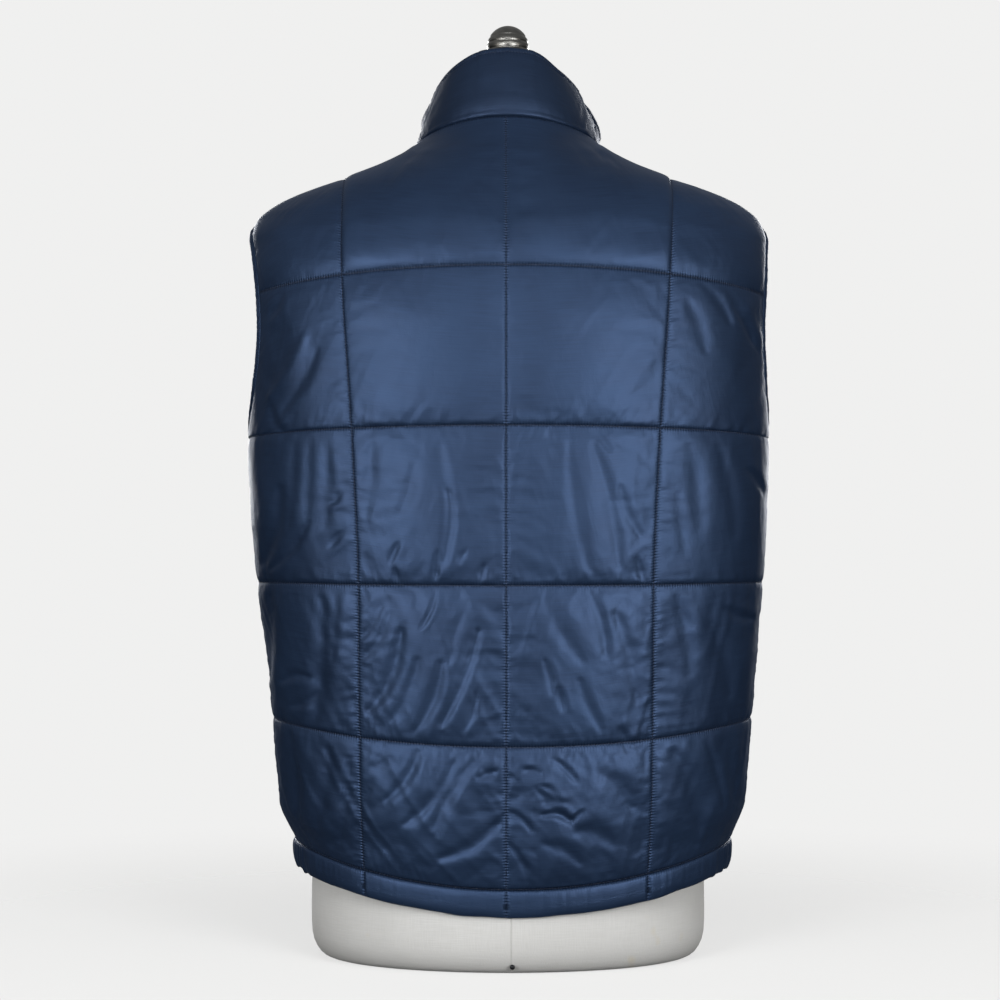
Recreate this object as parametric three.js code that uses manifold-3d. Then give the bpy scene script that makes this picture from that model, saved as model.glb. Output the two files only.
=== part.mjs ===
// A quilted, padded vest with a stand collar, resting on a limbless dress form.
// Millimetres, +Z up. The garment's front faces -Y and its back +Y; +X is the wearer's left.
// The origin is on the surface that the form stands on, below the middle of the whole.
import * as THREE from 'three';
import { mergeVertices } from 'three/addons/utils/BufferGeometryUtils.js';
import Module from 'manifold-3d';

// ---------------------------------------------------------------- driving sizes
const SEAM_GAP = 0.3; // between neighbouring pieces
const WALL = 2.5; // shell, flattened wadding and lining along a quilting line
const PUFF_OUT = 8; // how far the middle of a quilted cell stands out
const SIDE_PUFF_OUT = 5; // the same for the cells next to the side seams and the armholes
const PUFF_IN = 2; // and how far it swells inwards
const CENTRE_BACK_X = 2; // the middle quilting line hangs slightly to the wearer's left
const ZIP_EDGE = 5.5; // from the middle of the zip to the edge of a front
const SLIDER_Z = 604; // the zip is closed up to here
const SHOULDER_LINE_X = 140; // where the side quilting line meets the shoulder seam
const SHOULDER_TIP_Z = 640;
const NECK_POINT = { x: 80, z: 710 }; // where the shoulder seam meets the neck seam
const NECK_BACK_Z = 723; // the neck seam at the middle of the back
const FRONT_NECK_X = 50; // where each front's edge meets the neck seam, fallen open
const FRONT_NECK_Z = 672;

// Horizontal sections of the quilted surface at its stitch lines: half width at the side,
// depth to the back and to the front, squareness of the outline and sideways lean.
const SECTIONS = [
  { z: 40, side: 184, back: 122.5, front: 121, round: 2.2, lean: -4 },
  { z: 81, side: 188, back: 125.5, front: 123, round: 2.2, lean: -4 },
  { z: 104, side: 190, back: 128, front: 126, round: 2.2, lean: -4 },
  { z: 135, side: 200, back: 131, front: 130, round: 2.25, lean: -3.5 },
  { z: 209, side: 208, back: 135, front: 134, round: 2.3, lean: -3.5 },
  { z: 326, side: 220, back: 139, front: 136, round: 2.35, lean: -2 },
  { z: 390, side: 225, back: 140.5, front: 137, round: 2.4, lean: -1 },
  { z: 451, side: 227, back: 141, front: 137, round: 2.4, lean: -0.5 },
  { z: 540, side: 227, back: 140, front: 133, round: 2.4, lean: 0 },
  { z: 590, side: 228.5, back: 135, front: 126, round: 2.35, lean: 0 },
  { z: 622, side: 228, back: 126, front: 117, round: 2.25, lean: 0 },
  { z: 640, side: 221, back: 118, front: 110, round: 2.2, lean: 0 },
  { z: 653, side: 206, back: 112, front: 104, round: 2.15, lean: 0 },
  { z: 688, side: 113, back: 95, front: 86, round: 2.05, lean: 0 },
  { z: 704, side: 86, back: 86, front: 78, round: 2, lean: 0 },
  { z: 712, side: 79, back: 82, front: 74, round: 2, lean: 0 },
  { z: 723, side: 75, back: 77, front: 69, round: 2, lean: 0 },
  { z: 740, side: 72, back: 72, front: 64, round: 2, lean: 0 },
];

// Heights of the horizontal lines, from the hem's edge to the highest quilting line.
const HEM_EDGE = { back: 50, side: 81, front: 86 };
const HEM_STITCH = { back: 73, side: 104, front: 109 };
const QUILT_LINES = [
  { back: 191, side: 209, front: 212 },
  { back: 324, side: 326, front: 327 },
  { back: 456, side: 451, front: 452 },
  { back: 589, side: 582, front: 580 },
];

// Distance of the side quilting line from the middle, by height.
const SIDE_LINES = [
  { z: 50, out: 117 },
  { z: 191, out: 121 },
  { z: 324, out: 122 },
  { z: 456, out: 128 },
  { z: 589, out: 137 },
  { z: 677, out: SHOULDER_LINE_X },
];

// Half the armhole's breadth, towards the back and the front, on the wearer's left (+1) and right (-1).
const ARMHOLE_BREADTH = { '1': { back: 64, front: 70 }, '-1': { back: 48, front: 66 } };
const ARMPIT_Z = QUILT_LINES[2].side;

// The collar's top edge, by the share of the neck seam from the middle of the back.
const COLLAR_LEFT = [
  { along: 0, x: 0, y: 70, z: 779 },
  { along: 0.25, x: 45, y: 52, z: 770 },
  { along: 0.5, x: 63, y: 8, z: 761 },
  { along: 0.7, x: 73, y: -34, z: 752 },
  { along: 0.85, x: 79, y: -62, z: 741 },
  { along: 1, x: 72, y: -90, z: 726 },
];
const COLLAR_RIGHT = [
  { along: 0, x: 0, y: 70, z: 779 },
  { along: 0.25, x: 45, y: 52, z: 770 },
  { along: 0.5, x: 62, y: 8, z: 761 },
  { along: 0.7, x: 77, y: -33, z: 746 },
  { along: 0.85, x: 85, y: -62, z: 731 },
  { along: 1, x: 81, y: -87, z: 720 },
];

// Rings of the dress form, with a flat base.
const FORM_RINGS = [
  { z: 0, side: 154, back: 99, front: 99 },
  { z: 2, side: 161, back: 106, front: 106 },
  { z: 7, side: 167, back: 112, front: 112 },
  { z: 15, side: 170.5, back: 115.5, front: 115.5 },
  { z: 27, side: 172, back: 117, front: 117 },
  { z: 60, side: 172, back: 117, front: 117 },
  { z: 110, side: 170, back: 116, front: 116 },
  { z: 160, side: 163, back: 110, front: 112 },
  { z: 215, side: 151, back: 100, front: 107 },
  { z: 270, side: 145, back: 94, front: 105 },
  { z: 330, side: 149, back: 98, front: 108 },
  { z: 400, side: 160, back: 108, front: 114 },
  { z: 460, side: 172, back: 117, front: 119 },
  { z: 510, side: 183, back: 121, front: 119 },
  { z: 560, side: 193, back: 122, front: 113 },
  { z: 598, side: 198, back: 117, front: 105 },
  { z: 625, side: 198, back: 110, front: 98 },
  { z: 638, side: 194, back: 105, front: 93 },
  { z: 648, side: 184, back: 100, front: 88 },
  { z: 655, side: 169, back: 96, front: 84 },
  { z: 663, side: 148, back: 92, front: 79 },
  { z: 672, side: 124, back: 87, front: 74 },
  { z: 681, side: 101, back: 81, front: 68 },
  { z: 690, side: 81, back: 74, front: 62 },
  { z: 700, side: 67, back: 66, front: 57 },
  { z: 710, side: 60, back: 59, front: 54 },
  { z: 728, side: 57.5, back: 56, front: 53 },
  { z: 742, side: 57, back: 55, front: 53 },
];
const FORM_SEGMENTS = 40;
const FORM_ROUND = 2.1;

// The turned finial on the neck plate: a beehive of rings under a dome, on a waisted foot.
const PLATE = { radius: 52, thickness: 5 };
const FINIAL = { top: 817, radius: 18.5, grooves: [807, 801.5, 795.5], groove: 0.9 };
const FINIAL_FOOT = [
  { z: 0, r: 27 },
  { z: 3, r: 27.5 },
  { z: 5, r: 25 },
  { z: 8, r: 17 },
  { z: 15, r: 12 },
  { z: 24, r: 11.5 },
  { z: 33, r: 15.5 },
  { z: 37, r: 19 },
  { z: 41, r: 20.2 },
  { z: 44, r: 20.2 },
  { z: 46.5, r: 19 },
];
const TACK = { z: 7.6, x: -3.3, radius: 2.2, height: 1.4 };

const COLOURS = {
  navy: { color: 0x24395c, roughness: 0.42, metalness: 0 },
  navyTape: { color: 0x1b2a44, roughness: 0.8, metalness: 0 },
  linen: { color: 0xcfcdc4, roughness: 0.9, metalness: 0 },
  pewter: { color: 0x5a5c5c, roughness: 0.28, metalness: 1 },
  zinc: { color: 0xa9abae, roughness: 0.35, metalness: 1 },
  blackened: { color: 0x22252c, roughness: 0.5, metalness: 0.8 },
};

// ---------------------------------------------------------------- small helpers
const group = new THREE.Group();
const lerp = THREE.MathUtils.lerp;

function addMesh(name, geometry, finish, parent = group) {
  const mesh = new THREE.Mesh(geometry, new THREE.MeshStandardMaterial(COLOURS[finish]));
  mesh.name = name;
  parent.add(mesh);
  return mesh;
}

// A smooth curve through one column of a table, read at a value of another column.
function smooth(table, by, column, at) {
  const last = table.length - 1;
  if (at <= table[0][by]) return table[0][column];
  if (at >= table[last][by]) return table[last][column];
  const i = table.findIndex((row) => row[by] > at) - 1;
  const slope = (a, b) => (table[b][column] - table[a][column]) / (table[b][by] - table[a][by]);
  const here = slope(i, i + 1);
  // Steepness at a row: zero at a turning point, else the harmonic mean, so that nothing overshoots.
  const bend = (before, after) => (before * after <= 0 ? 0 : (2 * before * after) / (before + after));
  const startSlope = i === 0 ? here : bend(slope(i - 1, i), here);
  const endSlope = i + 1 === last ? here : bend(here, slope(i + 1, i + 2));
  const width = table[i + 1][by] - table[i][by];
  const t = (at - table[i][by]) / width;
  const t2 = t * t;
  const t3 = t2 * t;
  return (2 * t3 - 3 * t2 + 1) * table[i][column] + (t3 - 2 * t2 + t) * width * startSlope
    + (3 * t2 - 2 * t3) * table[i + 1][column] + (t3 - t2) * width * endSlope;
}

// ---------------------------------------------------------------- the worn surface
function sectionAt(z) {
  const columns = ['side', 'back', 'front', 'round', 'lean'];
  return Object.fromEntries(columns.map((column) => [column, smooth(SECTIONS, 'z', column, z)]));
}

// Point of the surface at a height and a distance x from the middle plane. facing is 'back' or 'front'.
function pointAtX(x, z, facing) {
  const s = sectionAt(z);
  const share = Math.min(1, Math.abs(x - s.lean) / s.side);
  const depth = s[facing] * Math.max(0, 1 - share ** s.round) ** (1 / s.round);
  return new THREE.Vector3(x, facing === 'back' ? depth : -depth, z);
}

// Point of the surface at a height and a depth y >= 0 from the side line, on the side hand = 1 or -1.
function pointAtDepth(depth, z, facing, hand) {
  const s = sectionAt(z);
  const share = Math.min(1, depth / s[facing]);
  const out = s.side * (1 - share ** s.round) ** (1 / s.round);
  return new THREE.Vector3(s.lean + hand * out, facing === 'back' ? depth : -depth, z);
}

// Outward direction of the surface at a point, from how fast the section outline is left behind.
function outwardAt(p) {
  const level = (x, y, z) => {
    const s = sectionAt(z);
    return (Math.abs(x - s.lean) / s.side) ** s.round
      + (Math.abs(y) / (y > 0 ? s.back : s.front)) ** s.round;
  };
  const step = 0.5;
  return new THREE.Vector3(
    level(p.x + step, p.y, p.z) - level(p.x - step, p.y, p.z),
    level(p.x, p.y + step, p.z) - level(p.x, p.y - step, p.z),
    level(p.x, p.y, p.z + step) - level(p.x, p.y, p.z - step),
  ).normalize();
}

// Half the armhole's breadth at a height: an ellipse from the armpit to the shoulder tip.
function armholeDepth(z, facing, hand) {
  const halfHeight = (SHOULDER_TIP_Z - ARMPIT_Z) / 2;
  const share = (z - ARMPIT_Z - halfHeight) / halfHeight;
  return ARMHOLE_BREADTH[hand][facing] * Math.sqrt(Math.max(0, 1 - share * share));
}

// Height of a horizontal line where the surface has gone a share of the way round to the side.
function lineHeight(line, x, z, facing) {
  const s = sectionAt(z);
  const share = Math.min(1, Math.abs(x - s.lean) / s.side);
  return lerp(line[facing], line.side, share * share);
}

// How far a front's edge has fallen from the middle plane at a height.
function frontEdgeX(z) {
  const share = Math.max(0, (z - SLIDER_Z) / (FRONT_NECK_Z - SLIDER_Z));
  return lerp(ZIP_EDGE, FRONT_NECK_X, share ** 1.25);
}

const sideLineX = (z) => smooth(SIDE_LINES, 'z', 'out', z);

// Distance from the middle plane of the cell edges: 0 at the middle or the front's edge, 1 at the
// side quilting line, 2 at the side seam or the armhole. Signed by hand.
function acrossPoint(across, z, facing, hand) {
  const middle = facing === 'back' ? CENTRE_BACK_X : hand * frontEdgeX(z);
  const line = (facing === 'back' ? CENTRE_BACK_X : 0) + hand * sideLineX(z);
  if (across <= 1) return pointAtX(lerp(middle, line, across), z, facing);
  const edgeDepth = z > ARMPIT_Z ? armholeDepth(z, facing, hand) : 0;
  const lineDepth = Math.abs(pointAtX(line, z, facing).y);
  // Equal steps along the outline between the quilting line and the edge.
  const samples = 24;
  const s = sectionAt(z);
  const angleOf = (depth) => Math.acos(Math.min(1, depth / s[facing]) ** (s.round / 2));
  const arc = [];
  let length = 0;
  for (let i = 0; i <= samples; i += 1) {
    const angle = lerp(angleOf(lineDepth), angleOf(edgeDepth), i / samples);
    const point = pointAtDepth(s[facing] * Math.cos(angle) ** (2 / s.round), z, facing, hand);
    if (i > 0) length += point.distanceTo(arc[i - 1].point);
    arc.push({ point, length });
  }
  const target = (across - 1) * length;
  const k = Math.max(1, arc.findIndex((a) => a.length >= target - 1e-9));
  const t = (target - arc[k - 1].length) / (arc[k].length - arc[k - 1].length || 1);
  const x = lerp(arc[k - 1].point.x, arc[k].point.x, t);
  const y = lerp(arc[k - 1].point.y, arc[k].point.y, t);
  return new THREE.Vector3(x, y, z);
}

// Point on a horizontal line: its height depends on how far out it is, so the two are settled together.
function linePoint(line, across, facing, hand) {
  let p = acrossPoint(across, line[facing], facing, hand);
  for (let i = 0; i < 5; i += 1) p = acrossPoint(across, lineHeight(line, p.x, p.z, facing), facing, hand);
  return p;
}

// ---------------------------------------------------------------- the top edge of a panel
// The neck seam from the middle of the back, or from a front's edge, to the neck point.
function neckSeamPoint(share, facing, hand) {
  const back = facing === 'back';
  const startAngle = back ? 0 : Math.asin(FRONT_NECK_X / NECK_POINT.x);
  const angle = lerp(startAngle, Math.PI / 2, share);
  const out = Math.sin(angle);
  const fall = (NECK_POINT.z - FRONT_NECK_Z) * (Math.cos(angle) / Math.cos(startAngle));
  const z = back ? lerp(NECK_BACK_Z, NECK_POINT.z, out * out) : NECK_POINT.z - fall;
  const start = back ? CENTRE_BACK_X * (1 - share) : 0;
  const p = pointAtX(start + hand * NECK_POINT.x * out, z, facing);
  if (share === 1) p.y = 0;
  return p;
}

// The shoulder seam runs along the ridge, where the section is at its widest.
function ridgeHeight(out) {
  let low = 600;
  let high = NECK_POINT.z + 10;
  for (let i = 0; i < 30; i += 1) {
    const mid = (low + high) / 2;
    if (sectionAt(mid).side > out) low = mid;
    else high = mid;
  }
  return low;
}
const ridgePoint = (out, hand) => new THREE.Vector3(hand * out, 0, ridgeHeight(out));
const TIP_X = sectionAt(SHOULDER_TIP_Z).side;

const NECK_COLUMNS = 5; // columns that end at the neck seam
const SHOULDER_COLUMNS = 2; // columns that end on the shoulder seam inside the side line
const INNER_COLUMNS = NECK_COLUMNS + SHOULDER_COLUMNS;
const OUTER_COLUMNS = 4;

// seamStep counts columns along the top edge: to the neck point, then to the side line and the tip.
function topPoint(seamStep, facing, hand) {
  if (seamStep <= NECK_COLUMNS) return neckSeamPoint(seamStep / NECK_COLUMNS, facing, hand);
  if (seamStep <= INNER_COLUMNS) {
    const out = lerp(NECK_POINT.x, SHOULDER_LINE_X, (seamStep - NECK_COLUMNS) / SHOULDER_COLUMNS);
    return ridgePoint(out, hand);
  }
  return ridgePoint(lerp(SHOULDER_LINE_X, TIP_X, (seamStep - INNER_COLUMNS) / OUTER_COLUMNS), hand);
}

// Point between the highest quilting line and the top edge, up = 0 to 1.
function yokePoint({ across, seamStep }, up, facing, hand) {
  const line = QUILT_LINES[3];
  const foot = linePoint(line, across, facing, hand);
  const top = topPoint(seamStep, facing, hand);
  if (up >= 1) return top;
  // Rows crowd towards the ridge, where the surface turns over, and not towards the neck seam.
  const crowd = 1 + Math.min(1, seamStep / NECK_COLUMNS) ** 2;
  const rise = 1 - (1 - up) ** crowd;
  const z = lerp(foot.z, top.z, rise);
  let x = lerp(foot.x, top.x, rise);
  if (facing === 'front' && across < 1) {
    // The inner columns bend with the front's falling edge.
    const straight = lerp(ZIP_EDGE, FRONT_NECK_X, rise);
    x += hand * (frontEdgeX(z) - straight) * (1 - across) ** 2;
  }
  if (across > 1 && z < SHOULDER_TIP_Z) {
    // The outer columns bend with the armhole's edge.
    const edgeFoot = linePoint(line, 2, facing, hand);
    const straight = lerp(edgeFoot.x, hand * TIP_X, (z - edgeFoot.z) / (SHOULDER_TIP_Z - edgeFoot.z));
    const edge = pointAtDepth(armholeDepth(z, facing, hand), z, facing, hand);
    x += (edge.x - straight) * (across - 1) ** 2;
    if (across === 2) return edge;
  }
  return pointAtX(x, z, facing);
}

// ---------------------------------------------------------------- panels of quilted cells
const CELL_ROWS = [5, 5, 5, 5, 6]; // steps from the hem stitch to each line and to the top edge
const BANDS = [HEM_STITCH, ...QUILT_LINES];

// Grid rows of one half panel, from the hem stitch up; each row runs from the middle to the side.
function panelPoint(band, up, column, facing, hand) {
  if (band === BANDS.length - 1) return yokePoint(column, up, facing, hand);
  const { across } = column;
  const crowd = band === 3 ? 1 + 1.6 * Math.max(0, across - 1) ** 2 : 1;
  const blend = up ** crowd;
  const line = {};
  for (const at of ['back', 'side', 'front']) line[at] = lerp(BANDS[band][at], BANDS[band + 1][at], blend);
  return linePoint(line, across, facing, hand);
}

// Swell of a cell, 0 on its stitched edges and 1 in its middle.
const swell = (p, q) => Math.sqrt(Math.max(0, Math.sin(Math.PI * p) * Math.sin(Math.PI * q)));

// Columns of a half panel: where each lies across, its place within its cell and along the top edge.
const FLAT_STRIP = 0.075; // the flat strip beside the zip, as a share of the inner cell
function halfColumns(facing) {
  const front = facing === 'front';
  const first = front ? FLAT_STRIP : 0;
  const columns = front ? [{ across: 0, inCell: 0, seamStep: 0 }] : [];
  for (let i = 0; i <= INNER_COLUMNS; i += 1) {
    const inCell = i / INNER_COLUMNS;
    const seamStep = i < NECK_COLUMNS ? lerp(first * INNER_COLUMNS, NECK_COLUMNS, i / NECK_COLUMNS) : i;
    columns.push({ across: lerp(first, 1, inCell), inCell, seamStep });
  }
  for (let i = 1; i <= OUTER_COLUMNS; i += 1) {
    const inCell = i / OUTER_COLUMNS;
    columns.push({ across: 1 + inCell, inCell, seamStep: INNER_COLUMNS + i });
  }
  return columns;
}

// One grid node: the stitch-line point, its outward direction, and its outer and inner faces.
function wallNode(p, out, puffOut, puffIn, wall = WALL) {
  return {
    base: p,
    out,
    outer: p.clone().addScaledVector(out, puffOut),
    inner: p.clone().addScaledVector(out, -wall - puffIn),
  };
}

function halfPanel(facing, hand) {
  const rows = [];
  const columns = halfColumns(facing);
  const seamShift = (facing === 'back' ? 1 : -1) * SEAM_GAP / 2;
  BANDS.forEach((_, band) => {
    const steps = CELL_ROWS[band];
    for (let k = band === 0 ? 0 : 1; k <= steps; k += 1) {
      rows.push(columns.map((column) => {
        const { across, inCell } = column;
        const p = panelPoint(band, k / steps, column, facing, hand);
        const out = outwardAt(p);
        if (Math.abs(p.y) < 0.01) p.y += seamShift;
        if (band === 0 && k === 0) p.z += SEAM_GAP / 2;
        const bulge = swell(inCell, k / steps);
        return wallNode(p, out, (across > 1 ? SIDE_PUFF_OUT : PUFF_OUT) * bulge, PUFF_IN * bulge);
      }));
    }
  });
  return rows;
}

// Joins two half grids at their middle column.
const mirrorJoin = (left, right) => left.map((row, i) => [...row.slice(1).reverse(), ...right[i]]);

// ---------------------------------------------------------------- closed solids from grids and loops
function solidFrom(points, faces) {
  const geometry = new THREE.BufferGeometry();
  geometry.setAttribute('position', new THREE.Float32BufferAttribute(points.flatMap((p) => p.toArray()), 3));
  let volume = 0;
  for (const [a, b, c] of faces) {
    volume += points[a].dot(new THREE.Vector3().crossVectors(points[b], points[c]));
  }
  const outwards = volume > 0 ? faces : faces.map(([a, b, c]) => [a, c, b]);
  geometry.setIndex(outwards.flat());
  geometry.computeVertexNormals();
  return geometry;
}

// A wall: the outer and the inner face of a grid of nodes, closed along its four edges.
function wallSolid(rows) {
  const height = rows.length;
  const width = rows[0].length;
  const points = [...rows.flat().map((n) => n.outer), ...rows.flat().map((n) => n.inner)];
  const outer = (r, c) => r * width + c;
  const inner = (r, c) => height * width + r * width + c;
  const faces = [];
  const quad = (a, b, c, d) => faces.push([a, b, c], [a, c, d]);
  for (let r = 0; r + 1 < height; r += 1) {
    for (let c = 0; c + 1 < width; c += 1) {
      quad(outer(r, c), outer(r, c + 1), outer(r + 1, c + 1), outer(r + 1, c));
      quad(inner(r, c), inner(r + 1, c), inner(r + 1, c + 1), inner(r, c + 1));
    }
  }
  for (let c = 0; c + 1 < width; c += 1) {
    quad(outer(0, c), inner(0, c), inner(0, c + 1), outer(0, c + 1));
    quad(outer(height - 1, c + 1), inner(height - 1, c + 1), inner(height - 1, c), outer(height - 1, c));
  }
  for (let r = 0; r + 1 < height; r += 1) {
    quad(outer(r + 1, 0), inner(r + 1, 0), inner(r, 0), outer(r, 0));
    quad(outer(r, width - 1), inner(r, width - 1), inner(r + 1, width - 1), outer(r + 1, width - 1));
  }
  return solidFrom(points, faces);
}

// Rings joined in order. A loop closes on its first ring; otherwise the end rings are filled.
function ringSolid(rings, isLoop) {
  const count = rings[0].length;
  const points = rings.flat();
  const at = (r, c) => (r % rings.length) * count + (c % count);
  const faces = [];
  const spans = isLoop ? rings.length : rings.length - 1;
  for (let r = 0; r < spans; r += 1) {
    for (let c = 0; c < count; c += 1) {
      faces.push([at(r, c), at(r, c + 1), at(r + 1, c + 1)], [at(r, c), at(r + 1, c + 1), at(r + 1, c)]);
    }
  }
  if (!isLoop) {
    for (const [r, turned] of [[0, true], [rings.length - 1, false]]) {
      const middle = new THREE.Vector3();
      rings[r].forEach((p) => middle.addScaledVector(p, 1 / count));
      const hub = points.push(middle) - 1;
      for (let c = 0; c < count; c += 1) {
        faces.push(turned ? [hub, at(r, c + 1), at(r, c)] : [hub, at(r, c), at(r, c + 1)]);
      }
    }
  }
  return solidFrom(points, faces);
}

// ---------------------------------------------------------------- back and fronts
const grids = {
  backLeft: halfPanel('back', 1),
  backRight: halfPanel('back', -1),
  frontLeft: halfPanel('front', 1),
  frontRight: halfPanel('front', -1),
};
addMesh('back', wallSolid(mirrorJoin(grids.backLeft, grids.backRight)), 'navy');
addMesh('front_left', wallSolid(grids.frontLeft), 'navy');
addMesh('front_right', wallSolid(grids.frontRight), 'navy');

// ---------------------------------------------------------------- hem casings
const CASING_WALL = 3.6;
const CASING_PUFF = 2.4;
const CASING_STEPS = 3;

function casingHalf(facing, hand) {
  const rows = [];
  const columns = halfColumns(facing);
  const seamShift = (facing === 'back' ? 1 : -1) * SEAM_GAP / 2;
  for (let k = 0; k <= CASING_STEPS; k += 1) {
    const up = k / CASING_STEPS;
    const line = {};
    for (const at of ['back', 'side', 'front']) line[at] = lerp(HEM_EDGE[at], HEM_STITCH[at], up);
    rows.push(columns.map(({ across }) => {
      const p = linePoint(line, across, facing, hand);
      const out = outwardAt(p);
      if (Math.abs(p.y) < 0.01) p.y += seamShift;
      if (k === CASING_STEPS) p.z -= SEAM_GAP / 2;
      const bulge = Math.sin(Math.PI * up);
      return wallNode(p, out, CASING_PUFF * bulge, 0, k === CASING_STEPS ? WALL : CASING_WALL);
    }));
  }
  return rows;
}
const casings = { left: casingHalf('front', 1), right: casingHalf('front', -1) };
addMesh('hem_back', wallSolid(mirrorJoin(casingHalf('back', 1), casingHalf('back', -1))), 'navy');
addMesh('hem_left', wallSolid(casings.left), 'navy');
addMesh('hem_right', wallSolid(casings.right), 'navy');

// ---------------------------------------------------------------- armhole bindings
const BINDING_WIDTH = 6.5;
const BINDING_THICKNESS = 5;
const BINDING_SIDES = 8;
const ARMPIT_ROW = CELL_ROWS[0] + CELL_ROWS[1] + CELL_ROWS[2];

// The panel edges round an armhole, from the armpit up the back, over the tip and down the front.
function armholeLoop(back, front) {
  const edge = (grid) => grid.slice(ARMPIT_ROW).map((row) => row[row.length - 1]);
  const up = edge(back);
  const down = edge(front).reverse();
  return [...up, ...down.slice(1, -1)].map(({ base, out }) => ({ base, out }));
}

function bindingSolid(back, front) {
  const loop = armholeLoop(back, front);
  const middle = new THREE.Vector3();
  loop.forEach(({ base }) => middle.addScaledVector(base, 1 / loop.length));
  const rings = loop.map(({ base, out }, i) => {
    const before = loop[(i + loop.length - 1) % loop.length].base;
    const after = loop[(i + 1) % loop.length].base;
    const along = after.clone().sub(before).normalize();
    const inwards = new THREE.Vector3().crossVectors(out, along).normalize();
    if (inwards.dot(middle.clone().sub(base)) < 0) inwards.negate();
    const thick = new THREE.Vector3().crossVectors(along, inwards).normalize();
    if (thick.dot(out) < 0) thick.negate();
    const centre = base.clone().addScaledVector(inwards, SEAM_GAP + 0.25 + BINDING_WIDTH / 2)
      .addScaledVector(thick, -WALL / 2);
    return Array.from({ length: BINDING_SIDES }, (_, k) => {
      const angle = (2 * Math.PI * (k + 0.5)) / BINDING_SIDES;
      return centre.clone().addScaledVector(inwards, (BINDING_WIDTH / 2) * Math.cos(angle))
        .addScaledVector(thick, (BINDING_THICKNESS / 2) * Math.sin(angle));
    });
  });
  return ringSolid(rings, true);
}
addMesh('armhole_binding_left', bindingSolid(grids.backLeft, grids.frontLeft), 'navy');
addMesh('armhole_binding_right', bindingSolid(grids.backRight, grids.frontRight), 'navy');

// ---------------------------------------------------------------- collar
const COLLAR_ROWS = 5;
const COLLAR_GAP = 0.55; // over the neck seam, which turns at the neck point
const COLLAR_WALL = 3;
const COLLAR_PUFF = 2;
const COLLAR_FOLD = { along: 0.6, width: 0.08, depth: 3.5 }; // the soft dent behind each wing

// Seam nodes of one half, from the middle of the back to the front's edge, with their share of the way.
function neckSeam(back, front) {
  const seamColumns = NECK_COLUMNS + 1;
  const top = (grid) => grid[grid.length - 1];
  const fromBack = top(back).slice(0, seamColumns);
  const fromFront = top(front).slice(0, seamColumns + 1).reverse();
  const corner = {
    base: fromBack[NECK_COLUMNS].base.clone().setY(0),
    out: fromBack[NECK_COLUMNS].out,
  };
  const nodes = [...fromBack.slice(0, -1), corner, ...fromFront.slice(1)];
  let length = 0;
  const lengths = nodes.map(({ base }, i) => {
    if (i > 0) length += base.distanceTo(nodes[i - 1].base);
    return length;
  });
  return nodes.map(({ base, out }, i) => ({ base, out, along: lengths[i] / length }));
}

function collarHalf(back, front, table, hand) {
  const seam = neckSeam(back, front);
  const surface = seam.map(({ base, out, along }, i) => {
    const top = new THREE.Vector3(
      hand * smooth(table, 'along', 'x', along),
      smooth(table, 'along', 'y', along),
      smooth(table, 'along', 'z', along),
    );
    if (along === 0) top.x = base.x * 0.5;
    const next = seam[Math.min(seam.length - 1, i + 1)].base;
    const seamLine = next.clone().sub(seam[Math.max(0, i - 1)].base);
    const away = new THREE.Vector3().crossVectors(out, seamLine).normalize();
    if (away.dot(top.clone().sub(base)) < 0) away.negate();
    const foot = base.clone().addScaledVector(away, COLLAR_GAP);
    return { foot, top, out, along };
  });
  return surface.map(({ foot, top, out, along }) => Array.from({ length: COLLAR_ROWS + 1 }, (_, k) => {
    const up = k / COLLAR_ROWS;
    const p = foot.clone().lerp(top, up);
    // The stand hugs the neck a little above its seam.
    p.addScaledVector(out, -1.5 * Math.sin(Math.PI * up) ** 2);
    const fold = Math.exp(-(((along - COLLAR_FOLD.along) / COLLAR_FOLD.width) ** 2));
    const inwards = new THREE.Vector3(-p.x, -p.y, 0).normalize();
    p.addScaledVector(inwards, COLLAR_FOLD.depth * fold * Math.sin((Math.PI / 2) * up));
    return { p, out, along, up };
  }));
}

function collarSolid() {
  const left = collarHalf(grids.backLeft, grids.frontLeft, COLLAR_LEFT, 1);
  const right = collarHalf(grids.backRight, grids.frontRight, COLLAR_RIGHT, -1);
  const stations = [...left.slice(1).reverse(), ...right];
  const middle = new THREE.Vector3(0, 0, 740);
  const rows = Array.from({ length: COLLAR_ROWS + 1 }, (_, k) => stations.map((station, i) => {
    const before = stations[Math.max(0, i - 1)][k].p;
    const after = stations[Math.min(stations.length - 1, i + 1)][k].p;
    const below = station[Math.max(0, k - 1)].p;
    const above = station[Math.min(COLLAR_ROWS, k + 1)].p;
    const along = after.clone().sub(before);
    const normal = new THREE.Vector3().crossVectors(along, above.clone().sub(below)).normalize();
    if (normal.dot(station[k].p.clone().sub(middle).setZ(0)) < 0) normal.negate();
    const own = Math.min(1, k / 1.5);
    const out = station[k].out.clone().multiplyScalar(1 - own).addScaledVector(normal, own).normalize();
    const ends = Math.min(1, 4 * Math.min(i, stations.length - 1 - i) / stations.length);
    const bulge = Math.sin(Math.PI * station[k].up) * ends;
    const wall = k === 0 ? WALL : COLLAR_WALL;
    return wallNode(station[k].p, out, COLLAR_PUFF * bulge, COLLAR_PUFF * bulge / 2, wall);
  }));
  return rows;
}
const collarRows = collarSolid();
addMesh('collar', wallSolid(collarRows), 'navy');

// ---------------------------------------------------------------- zip tapes
const TAPE_GAP = 0.45; // under the cloth that it is sewn to
const TAPE_THICKNESS = 1;
const TAPE_REACH = 4.6; // past the front's edge, towards the middle of the zip
const TOP_STOP = { gap: 1, length: 3 };

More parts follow.
